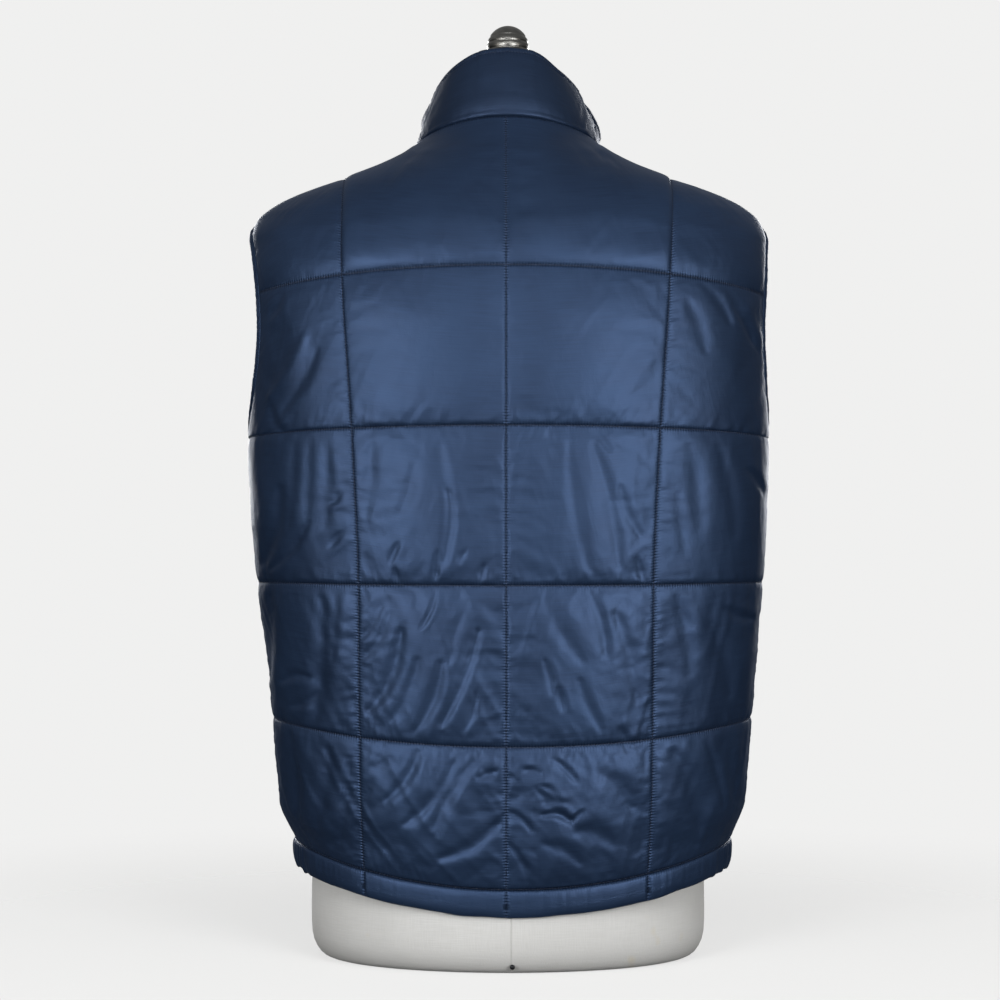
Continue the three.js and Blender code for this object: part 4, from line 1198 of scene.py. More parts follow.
def navy_satin(name, crinkle=0.16, shade=1.0):
    finish = Finish(name)
    flat = finish.place(uv=True)
    u, v, _ = finish.axes(flat)
    weft = finish.noise(finish.place((30, 1400, 1), uv=True), detail=1.0)
    broad = finish.noise(flat, 22, 2.0, 0.5, 0.6)
    cloudy = finish.noise(finish.place(), 9, 3.0)
    leaning = finish.add("ShaderNodeCombineXYZ", {}, {0: u.size() * 95 + v * 26, 1: v * 13})
    crease = finish.noise(leaning, 1.0, 2.0, 0.55, 0.5)
    lines, columns = finish.attribute("near_line"), finish.attribute("near_column")
    seam = lines.math("MAXIMUM", columns * 0.8)
    tone = 0.5 * weft + 0.3 * broad + 0.4 * cloudy
    # a shade below 1 darkens the whole colour: painted shade, for a piece that looks darker in the
    # light
    dark, light = [[shade * c for c in colour] for colour in (NAVY_DARK, NAVY)]
    colour = finish.tint(tone.between(0.35, 0.85), dark, light)
    # the colour darkens towards each seam: painted shade in the stitched grooves
    colour = finish.tint(seam.between(0.40, 0.98, 0.0, 0.75), colour, NAVY_SEAM_SHADE)
    rough = 0.40 + 0.10 * cloudy + 0.08 * weft
    turns = 2 * math.pi / (STITCH_PITCH * MM)
    dimples = lines * (u * turns).sine() + columns * (v * turns).sine()
    small = finish.noise(finish.place((1, 0.6, 1), uv=True), 150, 3.0, 0.6, 0.4)
    bump = finish.bump(weft, 0.035)
    bump = finish.bump(small, crinkle, bump)
    bump = finish.bump(crease, 0.16, bump)
    bump = finish.bump(1 - seam.between(0.15, 1.0), 0.45, bump)
    bump = finish.bump(dimples, 0.22, bump)
    return finish.surface(
        Base_Color=colour, Metallic=0.68, Roughness=rough, Normal=bump,
        Sheen_Weight=0.05, Sheen_Roughness=0.4, Sheen_Tint=(0.25, 0.42, 0.8),
    )


satin = navy_satin("navy_satin")
print("made", satin.name)

# %% [markdown]
# ## Cut out the panels
# With the grid, the relief and the satin ready, each panel becomes a finished piece. It stands for
# its plain solid and rides with the vest.

# %% The back and the fronts
def finish_piece(piece, slot, *stands_for, body="vest"):
    if stands_for:
        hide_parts(*stands_for)
    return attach(piece, body)


shells = {}
for name, panel in panels.items():
    shells[name] = finish_piece(panel_shell(panel, satin), "navy_cloth", name)
    corners = panel.surface[..., 0].size
    up, over = [np.diff(panel.surface, axis=axis) for axis in (0, 1)]
    area = np.linalg.norm(np.cross(up[:, :-1], over[:-1]), axis=-1).sum() * MM**2
    print(name, corners, "points, area", round(float(area), 3), "m2")

# %% [markdown]
# ## The hem casing
# Below the last stitching line a narrow casing is folded up all round. Its section is a flattened
# ring: out, round the fold and back behind. Walking that ring along the hem gives a tube. At the
# side seams it holds elastic, so there its cloth stands in tight gathers and its edge is scalloped.
# The vertical quilting lines run on down through it as shallow grooves.

# %% Build the hem casings
CASING = {
    "wall": 3.6, "puff": 2.4, "height": 23, "steps": 232, "round": 22, "elastic_from": 1.5,
    "groove": 1.5, "groove_width": 1.6,
}
CASING_HEIGHTS = 7


def run_length(points):
    """How far along a path each of its points is."""
    return np.concatenate([[0], np.cumsum(np.linalg.norm(np.diff(points, axis=0), axis=-1))])


def blunted(value, bend):
    """A sine or cosine for a section that lies between a circle and a box."""
    return np.sign(value) * np.abs(value) ** bend


def ring_faces(rings, around, closed=False):
    """Faces between rings of points, and a fan at each end unless the rings close on themselves."""
    i = np.arange(rings * around).reshape(rings, around)
    following = np.roll(i, -1, 0) if closed else i[1:]
    first = i if closed else i[:-1]
    a, b = first, np.roll(first, -1, 1)
    c, d = np.roll(following, -1, 1), following
    faces = np.stack([a, b, c, d], -1).reshape(-1, 4).tolist()
    if not closed:
        faces += [i[0, ::-1].tolist(), i[-1].tolist()]
    return faces


def turned_out(points, faces):
    """The same faces, reversed if they enclose a negative volume."""
    corners = np.array([face[:3] for face in faces if len(face) <= 4])
    a, b, c = [points[corners[:, k]] for k in range(3)]
    volume = float(np.einsum("ij,ij->i", a, np.cross(b, c)).sum())
    return faces if volume > 0 else [face[::-1] for face in faces]


def casing_half(facing, hand):
    """Points and places across, for a few heights from the edge to the stitch."""
    across = np.linspace(0, 2, CASING["steps"] + 1)
    rows = []
    for up in np.linspace(0, 1, CASING_HEIGHTS):
        line = {key: mix(HEM_EDGE[key], LINES[key][0], up) for key in LINES}
        rows.append(line_point(line, across, facing, hand))
    rows = np.stack(rows)
    on_side = np.abs(rows[..., 1]) < 0.01
    rows[..., 1] += np.where(on_side, (1 if facing == "back" else -1) * SEAM_GAP / 2, 0)
    return rows, across


def casing_piece(name, facing, hands):
    halves = [casing_half(facing, hand) for hand in hands]
    if len(halves) == 2:
        grid = np.concatenate([halves[0][0][:, :0:-1], halves[1][0]], 1)
        across = np.concatenate([-halves[0][1][:0:-1], halves[1][1]])
    else:
        grid, across = halves[0]
    out = outward(grid)
    u = run_length(grid[0])
    elastic = np.clip((np.abs(across) - CASING["elastic_from"]) / 0.12, 0, 1)
    tight = np.abs(uneven(u, 3.4)) - 0.45 + 0.5 * uneven(u, 7)
    easy = 0.55 * (np.abs(uneven(u, 6)) - 0.4) + 0.7 * (np.abs(uneven(u, 17)) - 0.4)
    groove = np.zeros_like(u)
    for line in ((0, 1) if facing == "back" else (1,)):
        nearest = np.abs(u[:, None] - u[np.abs(np.abs(across) - line) < 1e-6]).min(1)
        groove += CASING["groove"] * np.exp(-((nearest / CASING["groove_width"]) ** 2))
    angle = np.linspace(0, 2 * math.pi, CASING["round"], endpoint=False)
    up = 0.5 + 0.5 * blunted(np.sin(angle), 0.85)
    half = (CASING["wall"] + CASING["puff"]) / 2
    depth = (CASING["puff"] - CASING["wall"]) / 2 + half * blunted(np.cos(angle), 0.8)
    at = up * (CASING_HEIGHTS - 1)
    low = np.clip(np.floor(at).astype(int), 0, CASING_HEIGHTS - 2)
    share = (at - low)[:, None, None]
    base, away = [mix(a[low], a[low + 1], share) for a in (grid, out)]
    outer = np.clip(np.cos(angle), 0, 1)[:, None]
    gather = elastic * tight * 1.5 + (1 - elastic) * easy
    slant = np.roll(gather, 3) * 0.4 + gather * 0.8
    waves = mix(slant, gather, up[:, None]) * (0.35 + 0.65 * outer)
    below, above = (1 - up[:, None]) * CASING["height"], up[:, None] * CASING["height"]
    tuck = (1 - np.exp(-below / 4.0)) * (1 - np.exp(-(above + 2) / 5.0))
    lift = depth[:, None] + (waves * tuck - groove * outer)
    points = base + away * lift[..., None]
    scallop = elastic * (1.6 * uneven(u, 6) - 0.8) + (1 - elastic) * 0.7 * uneven(u, 21)
    points[..., 2] += (1 - up[:, None]) ** 2 * scallop - 0.15 * up[:, None]
    rings = np.moveaxis(points, 0, 1)
    flat = rings.reshape(-1, 3)
    faces = turned_out(flat, ring_faces(len(u), CASING["round"]))
    piece = add_object(name + "_cloth", flat, faces, casing_satin)
    around = run_length(rings[0])
    flat_map(piece, np.repeat(u, len(angle)), np.tile(around, len(u)))
    closeness(piece, "near_line", np.tile(np.abs(1 - up) * CASING["height"], len(u)))
    depth_share = np.clip(groove / CASING["groove"], 1e-9, 1)
    to_groove = np.where(groove > 0, CASING["groove_width"] * np.sqrt(-np.log(depth_share)), FAR)
    closeness(piece, "near_column", np.repeat(to_groove, len(angle)))
    return finish_piece(piece, "navy_cloth", name), base, u


casing_satin = navy_satin("casing_satin", crinkle=0.22)
casings = {
    "hem_back": casing_piece("hem_back", "back", (LEFT, RIGHT)),
    "hem_left": casing_piece("hem_left", "front", (LEFT,)),
    "hem_right": casing_piece("hem_right", "front", (RIGHT,)),
}
for name, (piece, _, length) in casings.items():
    print(name, "is", round(float(length[-1])), "mm long,", len(piece.data.vertices), "points")

# %% [markdown]
# ## Armhole bindings
# Each armhole is finished with a narrow strip of the same satin folded over the raw edge. It follows
# the panel edges in one closed loop. At each point of the loop a small flattened ring is set square
# to the path, and puckers swell and pinch it, because the strip is sewn on slightly stretched.

# %% Bind the armholes
BINDING = {"width": 6.5, "thickness": 5.0, "round": 16, "spacing": 1.3, "gap": 0.55, "seam": 0.55}


def picked(values, length, at):
    """What a path's values are at some distances along it."""
    return np.stack([np.interp(at, length, values[:, k]) for k in range(3)], -1)


def along_path(points, spacing, closed=False):
    """Even points along a path, and how far along each one is."""
    path = np.concatenate([points, points[:1]]) if closed else points
    length = run_length(path)
    count = max(2, int(round(length[-1] / spacing)))
    at = np.linspace(0, length[-1], count + 1)
    at = at[:-1] if closed else at
    return picked(path, length, at), at


def unit(vectors):
    return vectors / np.maximum(np.linalg.norm(vectors, axis=-1, keepdims=True), 1e-9)


def eased(values, reach, closed=True):
    """A running average along a path, to soften its corners."""
    if closed:
        return sum(np.roll(values, k, 0) for k in range(-reach, reach + 1)) / (2 * reach + 1)
    padded = np.concatenate([values[:1]] * reach + [values] + [values[-1:]] * reach)
    return sum(padded[k : k + len(values)] for k in range(2 * reach + 1)) / (2 * reach + 1)


def armhole_path(hand):
    back, front = panels["back"], panels["front_left" if hand == LEFT else "front_right"]
    column = 0 if hand == LEFT else -1
    up = back.points[back.rows[3] :, column]
    down = front.points[front.rows[3] :, -1][::-1]
    return np.concatenate([up, down[1:-1]])


def binding_piece(name, hand):
    path, at = along_path(armhole_path(hand), BINDING["spacing"], closed=True)
    path = eased(path, 2)
    out = eased(outward(path), 4)
    along = unit(eased(np.roll(path, -1, 0) - np.roll(path, 1, 0), 3))
    inwards = unit(np.cross(out, along))
    if float(((path.mean(0) - path) * inwards).sum()) < 0:
        inwards = -inwards
    thick = unit(np.cross(along, inwards))
    thick = np.where((thick * out).sum(-1, keepdims=True) < 0, -thick, thick)
    pinch = 1 + 0.16 * (np.abs(uneven(at, 3.6)) - 0.4) + 0.10 * uneven(at, 11)
    pinch[-6:] = mix(pinch[-6:], pinch[0], np.linspace(0, 1, 6))
    centre = path + inwards * (BINDING["gap"] + BINDING["width"] / 2) - thick * WALL / 2
    angle = np.linspace(0, 2 * math.pi, BINDING["round"], endpoint=False)
    reach = BINDING["width"] / 2 * blunted(np.cos(angle), 0.8)
    height = BINDING["thickness"] / 2 * blunted(np.sin(angle), 0.8)
    # the seam along the strip presses a groove near the panel's edge
    from_seam = np.cos(angle) + BINDING["seam"]
    height = height * (1 - 0.30 * np.exp(-((from_seam / 0.22) ** 2)))
    rings = centre[:, None] + inwards[:, None] * reach[None, :, None]
    rings = rings + thick[:, None] * (height[None] * pinch[:, None])[..., None]
    flat = rings.reshape(-1, 3)
    faces = turned_out(flat, ring_faces(len(path), len(angle), closed=True))
    piece = add_object(name + "_cloth", flat, faces, casing_satin)
    flat_map(piece, np.repeat(at, len(angle)), np.tile(np.arange(len(angle)) * 1.2, len(path)))
    seam = np.abs(from_seam) * BINDING["width"] / 2 + np.where(np.sin(angle) > 0, 0, 9)
    closeness(piece, "near_line", np.tile(seam, len(path)), 0.8)
    finish_piece(piece, "navy_cloth", name)
    row = centre - inwards * BINDING["seam"] * BINDING["width"] / 2
    row = row + thick * BINDING["thickness"] * 0.40
    return row, thick, at


bindings = {hand: binding_piece("armhole_binding_" + side, hand) for side, hand in SIDES.items()}
print("armhole lengths:", [round(float(at[-1])) for _, _, at in bindings.values()], "mm")

# %% [markdown]
# ## The stand collar
# The collar is one strip that stands on the neck seam and flares a little at the throat, where the
# zip has fallen open. Its foot follows the seam and its top edge follows a short table, one for
# each side, because a worn collar never sits evenly. Between them it hugs the neck, and it is
# wrapped as a closed section: up the outside, over the rounded top and down the inside.

# %% Build the collar
COLLAR_LEFT = table("along x y z", """
    0     0    70   786
    0.12  25   66   783
    0.25  48   52   772
    0.5   63    8   762
    0.7   73  -34   752
    0.85  79  -62   741
    1     72  -90   726
""")
COLLAR_RIGHT = table("along x y z", """
    0     0    70   786
    0.12  23   66   783
    0.25  44   52   770
    0.5   62    8   761
    0.7   77  -33   746
    0.85  85  -62   731
    1     81  -87   720
""")
COLLAR = {
    "gap": 0.55, "wall": 3.0, "puff": 1.4, "rows": 30, "stations": 104, "edge_stitch": 5.0,
    "foot_out": 2.0, "top_in": 10.0, "piping": 0.9, "crown": 1.2,
}
COLLAR_DENT = {"along": 0.6, "width": 0.08, "depth": 3.5}


def collar_seam(hand):
    """Even points along the neck seam, from the middle of the back to the front's edge."""
    share = np.linspace(0, 1, 60)
    path = np.concatenate([neck_seam(share, "back", hand), neck_seam(share[::-1], "front", hand)[1:]])
    length = run_length(path)
    along = np.linspace(0, 1, COLLAR["stations"] + 1)
    base = np.stack([np.interp(along * length[-1], length, path[:, k]) for k in range(3)], -1)
    return base, along


def collar_half(hand):
    rows = COLLAR_LEFT if hand == LEFT else COLLAR_RIGHT
    base, along = collar_seam(hand)
    out = unit(eased(outward(base), 3, closed=False))
    top = np.stack([smooth(rows, "along", key, along) for key in "xyz"], -1)
    top[:, 0] = hand * top[:, 0] + 0.5 * base[:, 0] * np.clip(1 - 8 * along, 0, 1)
    line = eased(np.gradient(base, axis=0), 3, closed=False)
    away = unit(np.cross(out, line))
    away = np.where(((top - base) * away).sum(-1, keepdims=True) < 0, -away, away)
    foot = base + away * COLLAR["gap"]
    up = np.linspace(0, 1, COLLAR["rows"] + 1)[None, :, None]
    p = mix(foot[:, None], top[:, None], up)
    # the back of the collar leans towards the neck
    behind = np.maximum(0, 1 - (along / 0.55) ** 2)[:, None]
    start = np.minimum(1, 3 * up[..., 0])
    p[..., 1] += behind * start * mix(COLLAR["foot_out"], -COLLAR["top_in"], up[..., 0])
    dent = np.exp(-(((along - COLLAR_DENT["along"]) / COLLAR_DENT["width"]) ** 2))
    towards = unit(p * np.array([-1, -1, 0]))
    p = p + towards * (COLLAR_DENT["depth"] * dent)[:, None, None] * np.sin(math.pi / 2 * up)
    return p, out, along


def collar_piece():
    left, right = collar_half(LEFT), collar_half(RIGHT)
    middle = np.concatenate([left[0][:0:-1], right[0]])
    foot_out = np.concatenate([left[1][:0:-1], right[1]])
    along = np.concatenate([-left[2][:0:-1], right[2]])
    tangent, climb = np.gradient(middle, axis=0), np.gradient(middle, axis=1)
    normal = unit(np.cross(tangent, climb))
    away = (middle - np.array([0, 0, 740])) * np.array([1, 1, 0])
    normal = np.where((normal * away).sum(-1, keepdims=True) < 0, -normal, normal)
    up = np.linspace(0, 1, COLLAR["rows"] + 1)
    own = np.minimum(1, up * 5 / 1.5)[None, :, None]
    out = unit(mix(foot_out[:, None] + 0 * normal, normal, own))
    u = run_length(middle[:, 0])
    to_end = np.minimum(u, u[-1] - u)
    height = np.linalg.norm(middle[:, -1] - middle[:, 0], axis=-1)
    down = height[:, None] * (1 - up)[None]
    above = height[:, None] - down
    piping = COLLAR["piping"] * np.exp(-(((above - 1.6) / 1.1) ** 2))
    swell = np.sin(math.pi * up)[None] * np.minimum(1, 4 * to_end / u[-1])[:, None]
    # a groove where the edge is stitched, and soft wrinkles that grow towards the throat
    edge = np.minimum(down, to_end[:, None] + 0 * down)
    from_stitch = edge - COLLAR["edge_stitch"]
    groove = 0.55 * np.exp(-((from_stitch / 1.2) ** 2))
    ug, vg = u[:, None] + 0 * down, down
    wing = np.clip((np.abs(along) - 0.25) / 0.3, 0.12, 1)[:, None]
    wrinkles = 1.7 * (np.abs(patchy(ug + 0.7 * vg, vg, 11, 16)) - 0.35) * wing
    wrinkles += 0.7 * (np.abs(patchy(ug - 0.4 * vg, vg, 5, 9)) - 0.35) * wing
    foot = np.exp(-above / 5.0)
    wrinkles += 0.8 * (np.abs(uneven(u, 4)) - 0.4)[:, None] * foot * (1 - np.exp(-above))
    wrinkles += 0.5 * (np.abs(uneven(u, 5)) - 0.4)[:, None] * np.exp(-((from_stitch / 3) ** 2))
    calm = np.clip(down / 4, 0.25, 1) * np.clip(to_end[:, None] / 4, 0.2, 1)
    thin = np.sqrt(np.clip(1 - (1 - np.clip(to_end / 1.6, 0.05, 1)) ** 2, 0, 1))[:, None]
    mid = COLLAR["wall"] / 2
    lift = COLLAR["puff"] * swell - groove - wrinkles * calm + piping
    outer = middle + out * (-mid + (mid + lift) * thin)[..., None]
    inner_lift = COLLAR["puff"] / 2 * swell + 0.4 * wrinkles * calm
    inner = middle - out * (mid + (mid + inner_lift) * thin)[..., None]
    # over the top: half a circle between the two faces
    turns = np.linspace(0, math.pi, 7)[1:-1]
    last_out, last_in = outer[:, -1], inner[:, -1]
    crest = unit(middle[:, -1] - middle[:, -3]) * COLLAR["crown"]
    centre, half = (last_out + last_in) / 2, (last_out - last_in) / 2
    crown = [centre + half * math.cos(t) + crest * math.sin(t) - crest for t in turns]
    outer[:, -1] -= crest
    inner[:, -1] -= crest
    rings = np.concatenate([outer, np.stack(crown, 1), inner[:, ::-1][:, ::2]], 1)
    flat = rings.reshape(-1, 3)
    faces = turned_out(flat, ring_faces(*rings.shape[:2]))
    piece = add_object("collar_cloth", flat, faces, collar_satin)
    around = run_length(rings[len(rings) // 2])
    flat_map(piece, np.repeat(u, rings.shape[1]), np.tile(around, len(u)))
    far = np.full((len(u), rings.shape[1] - outer.shape[1]), FAR)
    closeness(piece, "near_line", np.concatenate([np.abs(from_stitch), far], 1).ravel(), 0.9)
    finish_piece(piece, "navy_cloth", "collar")
    return {"outer": outer, "inner": inner, "out": out, "u": u, "edge": edge, "down": down}


# the collar's satin is a copy of the navy satin darkened to 0.72, a painted shade for the collar's
# darker look in the light
collar_satin = navy_satin("collar_satin", crinkle=0.10, shade=0.72)
collar = collar_piece()
print("collar is", round(float(collar["u"][-1])), "mm round its foot")

# %% [markdown]
# ## Stitches
# Thread is what tells a quilted seam from a dent, so every stitch is there: a short, slightly domed
# grain of thread, modelled once and set along each seam at an even pitch. All the stitches of a
# panel are one mesh, and each one has only a few faces, because there are thousands.

# %% Sew the seams
STITCH = {"length": 1.9, "radius": 0.27, "sides": 5, "lift": 0.12}


def stitch_grain():
    """One stitch along x, with z up: rings of a few points and a point at each end."""
    rings = [(-0.36, 0.8), (0.0, 1.0), (0.36, 0.8)]
    points, faces = [], []
    for along, size in rings:
        for k in range(STITCH["sides"]):
            angle = 2 * math.pi * k / STITCH["sides"]
            bow = 0.25 * (1 - (2 * along) ** 2)
            points.append((along, size * math.cos(angle), size * math.sin(angle) * 0.8 + bow))
    points += [(-0.5, 0, -0.3), (0.5, 0, -0.3)]
    n, count = STITCH["sides"], len(rings)
    for r in range(count - 1):
        for k in range(n):
            a, b = r * n + k, r * n + (k + 1) % n
            faces.append((a, b, b + n, a + n))
    for k in range(n):
        faces.append(((k + 1) % n, k, count * n))
        faces.append(((count - 1) * n + k, (count - 1) * n + (k + 1) % n, count * n + 1))
    scale = [STITCH["length"], STITCH["radius"], STITCH["radius"]]
    return np.array(points) * scale, np.array(faces, object)


GRAIN_POINTS, GRAIN_FACES = stitch_grain()


def run_of_stitches(path, out):
    """Where each stitch of a seam goes: its middle, its direction and its way up."""
    length = run_length(path)
    at = np.arange(STITCH_PITCH / 2, length[-1], STITCH_PITCH)
    at = at + dice.uniform(-0.15, 0.15, len(at))
    spot, ahead, behind = [picked(path, length, at + step) for step in (0, 0.8, -0.8)]
    up = unit(picked(out, length, at))
    along = unit(ahead - behind)
    up = unit(up - along * (up * along).sum(-1, keepdims=True))
    return spot + up * STITCH["lift"], along, up


def copies(shape, faces, spots, axes):
    """A copy of a small shape at each spot, turned to the spot's three axes."""
    points = spots[:, None]
    for k, axis in enumerate(axes):
        points = points + axis[:, None] * shape[None, :, k : k + 1]
    numbered = [tuple(i + n * len(shape) for i in face) for n in range(len(spots)) for face in faces]
    return points.reshape(-1, 3), numbered


def sew(name, runs, finish):
    spot, along, up = [np.concatenate([run[k] for run in runs]) for k in range(3)]
    aside = np.cross(up, along)
    piece = add_object(name, *copies(GRAIN_POINTS, GRAIN_FACES, spot, (along, aside, up)), finish)
    finish_piece(piece, "navy_cloth")
    return len(spot)


def thread(name, colour):
    finish = Finish(name)
    twist = finish.noise(finish.place(), 1800, 1.0)
    tone = finish.tint(twist.between(0.3, 0.7), [0.6 * c for c in colour], [1.3 * c for c in colour])
    rough = 0.55 + 0.2 * twist
    return finish.surface(Base_Color=tone, Roughness=rough, Normal=finish.bump(twist, 0.06))


navy_thread = thread("navy_thread", (0.012, 0.024, 0.060))


def panel_runs(panel):
    runs = []
    last = len(panel.rows) - 1
    for i, row in enumerate(panel.rows[:last]):
        runs.append(run_of_stitches(panel.surface[row], panel.out[row]))
    for column in panel.columns[1:-1]:
        runs.append(run_of_stitches(panel.surface[:, column], panel.out[:, column]))
    return runs


total = 0
for name, panel in panels.items():
    total += sew("stitches_" + name, panel_runs(panel), navy_thread)
for side, hand in SIDES.items():
    row, thick, _ = bindings[hand]
    total += sew("stitches_armhole_" + side, [run_of_stitches(row, thick)], navy_thread)
edge_row = int(np.argmin(np.abs(collar["down"][len(collar["u"]) // 2] - COLLAR["edge_stitch"])))
inside = slice(4, -4)
collar_run = run_of_stitches(collar["outer"][inside, edge_row], collar["out"][inside, edge_row])
total += sew("stitches_collar", [collar_run], navy_thread)
print("stitches:", total)

# %% [markdown]
# ## The zip
# Two woven tapes lie under the edges of the fronts and run on up the collar. Along the free edge of
# each sits a row of moulded teeth. Up to the slider the rows mesh on the middle line; above it each
# row follows its own tape. One tooth is modelled, and copies are set along the paths in pairs that
# are half a step apart.

# %% Lay the tapes
TAPE = {"gap": 0.45, "thickness": 1.0, "reach": 4.6}
STOP_Z = 90


def casing_edge(hand):
    """The casing's front edge and the line just inside it, at a few heights."""
    rows, across = casing_half("front", hand)
    inside = int(np.argmin(np.abs(across - ZIP_STRIP)))
    inner = [rows[1:, k] - outward(rows[1:, k]) * CASING["wall"] for k in (0, inside)]
    return inner[0], inner[1], outward(rows[1:, 0])


def tape_path(hand):
    """Edge and inside points on the inner face of the cloth, from the hem up to the collar's corner."""
    panel = panels["front_left" if hand == LEFT else "front_right"]
    low = casing_edge(hand)
    inside = panel.columns[1]
    rows = slice(2, None, 2)
    front = [
        panel.points[rows, 0] - panel.out[rows, 0] * WALL,
        panel.points[rows, inside] - panel.out[rows, inside] * WALL,
        panel.out[rows, 0],
    ]
    station, within = (0, 4) if hand == LEFT else (-1, -5)
    middle = (collar["outer"] + collar["inner"]) / 2
    stand = slice(1, None, 3)
    back = COLLAR["wall"] / 2
    up = [middle[k, stand] - collar["out"][k, stand] * back for k in (station, within)]
    up.append(collar["out"][station, stand])
    return [np.concatenate(parts) for parts in zip(low, front, up)]


def tape_piece(name, hand):
    edge, under, out = tape_path(hand)
    along = unit(eased(np.gradient(edge, axis=0), 2, closed=False))
    out = unit(eased(out, 2, closed=False))
    reach = unit(np.cross(along, out))
    reach = np.where(((under - edge) * reach).sum(-1, keepdims=True) > 0, -reach, reach)
    edge = edge - out * TAPE["gap"]
    under = under - out * TAPE["gap"]
    free = edge + reach * TAPE["reach"]
    # the free edge is a little thinner than the rest
    section = [(free, 0.15), (mix(free, edge, 0.08), 0.0), (mix(free, edge, 0.5), 0.0)]
    section += [(edge, 0.0), (under, 0.0)]
    front = [p - out * drop for p, drop in section]
    behind = [p - out * (TAPE["thickness"] - drop) for p, drop in section[::-1]]
    rings = np.stack(front + behind, 1)
    flat = rings.reshape(-1, 3)
    faces = turned_out(flat, ring_faces(*rings.shape[:2]))
    piece = add_object(name + "_weave", flat, faces, tape_weave)
    v = run_length(edge)
    across = [0, 0.4, 2.4, 4.8, 14]
    flat_map(piece, np.tile(across + across[::-1], len(v)), np.repeat(v, 2 * len(across)))
    finish_piece(piece, "zip_tape", name)
    return free - out * TAPE["thickness"] / 2, out, reach


def woven_tape(name):
    finish = Finish(name)
    u, v, _ = finish.axes(finish.place(uv=True))
    rib = ((u + v * 0.5) * (2 * math.pi / 0.0011)).sine()
    pick = (v * (2 * math.pi / 0.0007)).sine()
    soft = finish.noise(finish.place(uv=True), 300, 2.0)
    ribs = (rib * 0.25 + soft).between(0.1, 0.9)
    colour = finish.tint(ribs, (0.006, 0.011, 0.024), (0.016, 0.028, 0.056))
    bump = finish.bump(rib * 0.6 + pick * 0.4, 0.08)
    return finish.surface(Base_Color=colour, Roughness=0.75 + 0.1 * soft, Normal=bump)


tape_weave = woven_tape("tape_weave")
tapes = {hand: tape_piece("zip_tape_" + side, hand) for side, hand in SIDES.items()}
print("tapes reach", [round(float(free[-1, 2])) for free, _, _ in tapes.values()], "mm high")

# %% Set the teeth
TOOTH = {"pitch": 2.3, "width": 1.25, "thickness": 2.3}


def tooth_shape():
    """x runs across the zip towards the other row, y along it and z outwards."""
    half, wide = TOOTH["width"] / 2, TOOTH["thickness"] / 2
    outline = [(-2.6, -0.9 * half), (0.2, -0.8 * half), (0.7, -1.15 * half), (1.4, -0.8 * half)]
    outline += [(x, -y) for x, y in outline[::-1]]
    lower = [(x, y, -wide) for x, y in outline]
    upper = [(x, y, wide) for x, y in outline]
    n = len(outline)
    faces = [tuple(range(n - 1, -1, -1)), tuple(range(n, 2 * n))]
    faces += [(k, (k + 1) % n, (k + 1) % n + n, k + n) for k in range(n)]
    return np.array(lower + upper), faces


TOOTH_POINTS, TOOTH_FACES = tooth_shape()


def closed_line():
    """The middle of the zip, from the bottom stop to the slider."""
    z = np.linspace(STOP_Z + 5, SLIDER_Z - 3, 200)
    p = point_at_x(0 * z, z, "front")
    out = outward(p)
    return p - out * (WALL + TAPE["gap"] + TAPE["thickness"] / 2), out


def tooth_rows(hand):
    """Middle, direction along, direction out and direction across of each tooth of one tape."""
    start = 0.0 if hand == LEFT else TOOTH["pitch"] / 2
    path, out = closed_line()
    free, free_out, reach = tapes[hand]
    above = free[:, 2] > SLIDER_Z + 9
    spots = []
    across = np.array([-hand, 0, 0.0])
    sets = [(path, out, across + 0 * path, -0.45)]
    sets.append((free[above][:-1], free_out[above][:-1], reach[above][:-1], 0.4))
    for line, up, towards, shift in sets:
        length = run_length(line)
        at = np.arange(start, length[-1], TOOTH["pitch"])
        p, n, b = [picked(values, length, at) for values in (line, up, towards)]
        n, b = unit(n), unit(b)
        t = unit(np.cross(n, b))
        b = unit(np.cross(t, n))
        spots.append((p + b * shift, b, t, n))
    return [np.concatenate(parts) for parts in zip(*spots)]


def tooth_piece(name, hand):
    spots, *axes = tooth_rows(hand)
    points, faces = copies(TOOTH_POINTS, TOOTH_FACES, spots, axes)
    piece = add_object(name, points, turned_out(points, faces), tooth_plastic, smooth_faces=False)
    finish_piece(piece, "zip_tape")
    return len(spots)


def moulded_plastic(name):
    finish = Finish(name)
    grain = finish.noise(finish.place(), 900, 2.0)
    colour = finish.tint(grain, (0.010, 0.016, 0.032), (0.018, 0.028, 0.052))
    rough = 0.34 + 0.16 * grain
    return finish.surface(Base_Color=colour, Roughness=rough, Normal=finish.bump(grain, 0.05))


tooth_plastic = moulded_plastic("tooth_plastic")
print("teeth:", [tooth_piece("zip_teeth_" + side, hand) for side, hand in SIDES.items()])

# %% [markdown]
# ## Slider, pull tab and stops
# The construction already holds the zip's hard parts in their true shape, so they stay and only get
# a finish. Plated zinc is bright where fingers rub it and duller in the corners.

# %% Plate the zip's metal
def plated_zinc(name):
    finish = Finish(name)
    cloud = finish.noise(finish.place(), 260, 3.0)
    scratch = finish.noise(finish.place((400, 400, 4000)), 1.0, 2.0)
    colour = finish.tint(cloud, (0.30, 0.31, 0.33), (0.46, 0.47, 0.49))
    rough = 0.28 + 0.16 * cloud + 0.08 * scratch
    bump = finish.bump(cloud, 0.03, finish.bump(scratch, 0.01))
    return finish.surface(Base_Color=colour, Metallic=1.0, Roughness=rough, Normal=bump)


zinc = plated_zinc("plated_zinc")
ZIP_METAL = ["zip_slider", "zip_pull_tab", "zip_bottom_stop", "zip_top_stop_left", "zip_top_stop_right"]
for name in ZIP_METAL:
    nodes[name].data.materials.clear()
    nodes[name].data.materials.append(zinc)
print("plated:", ", ".join(ZIP_METAL))

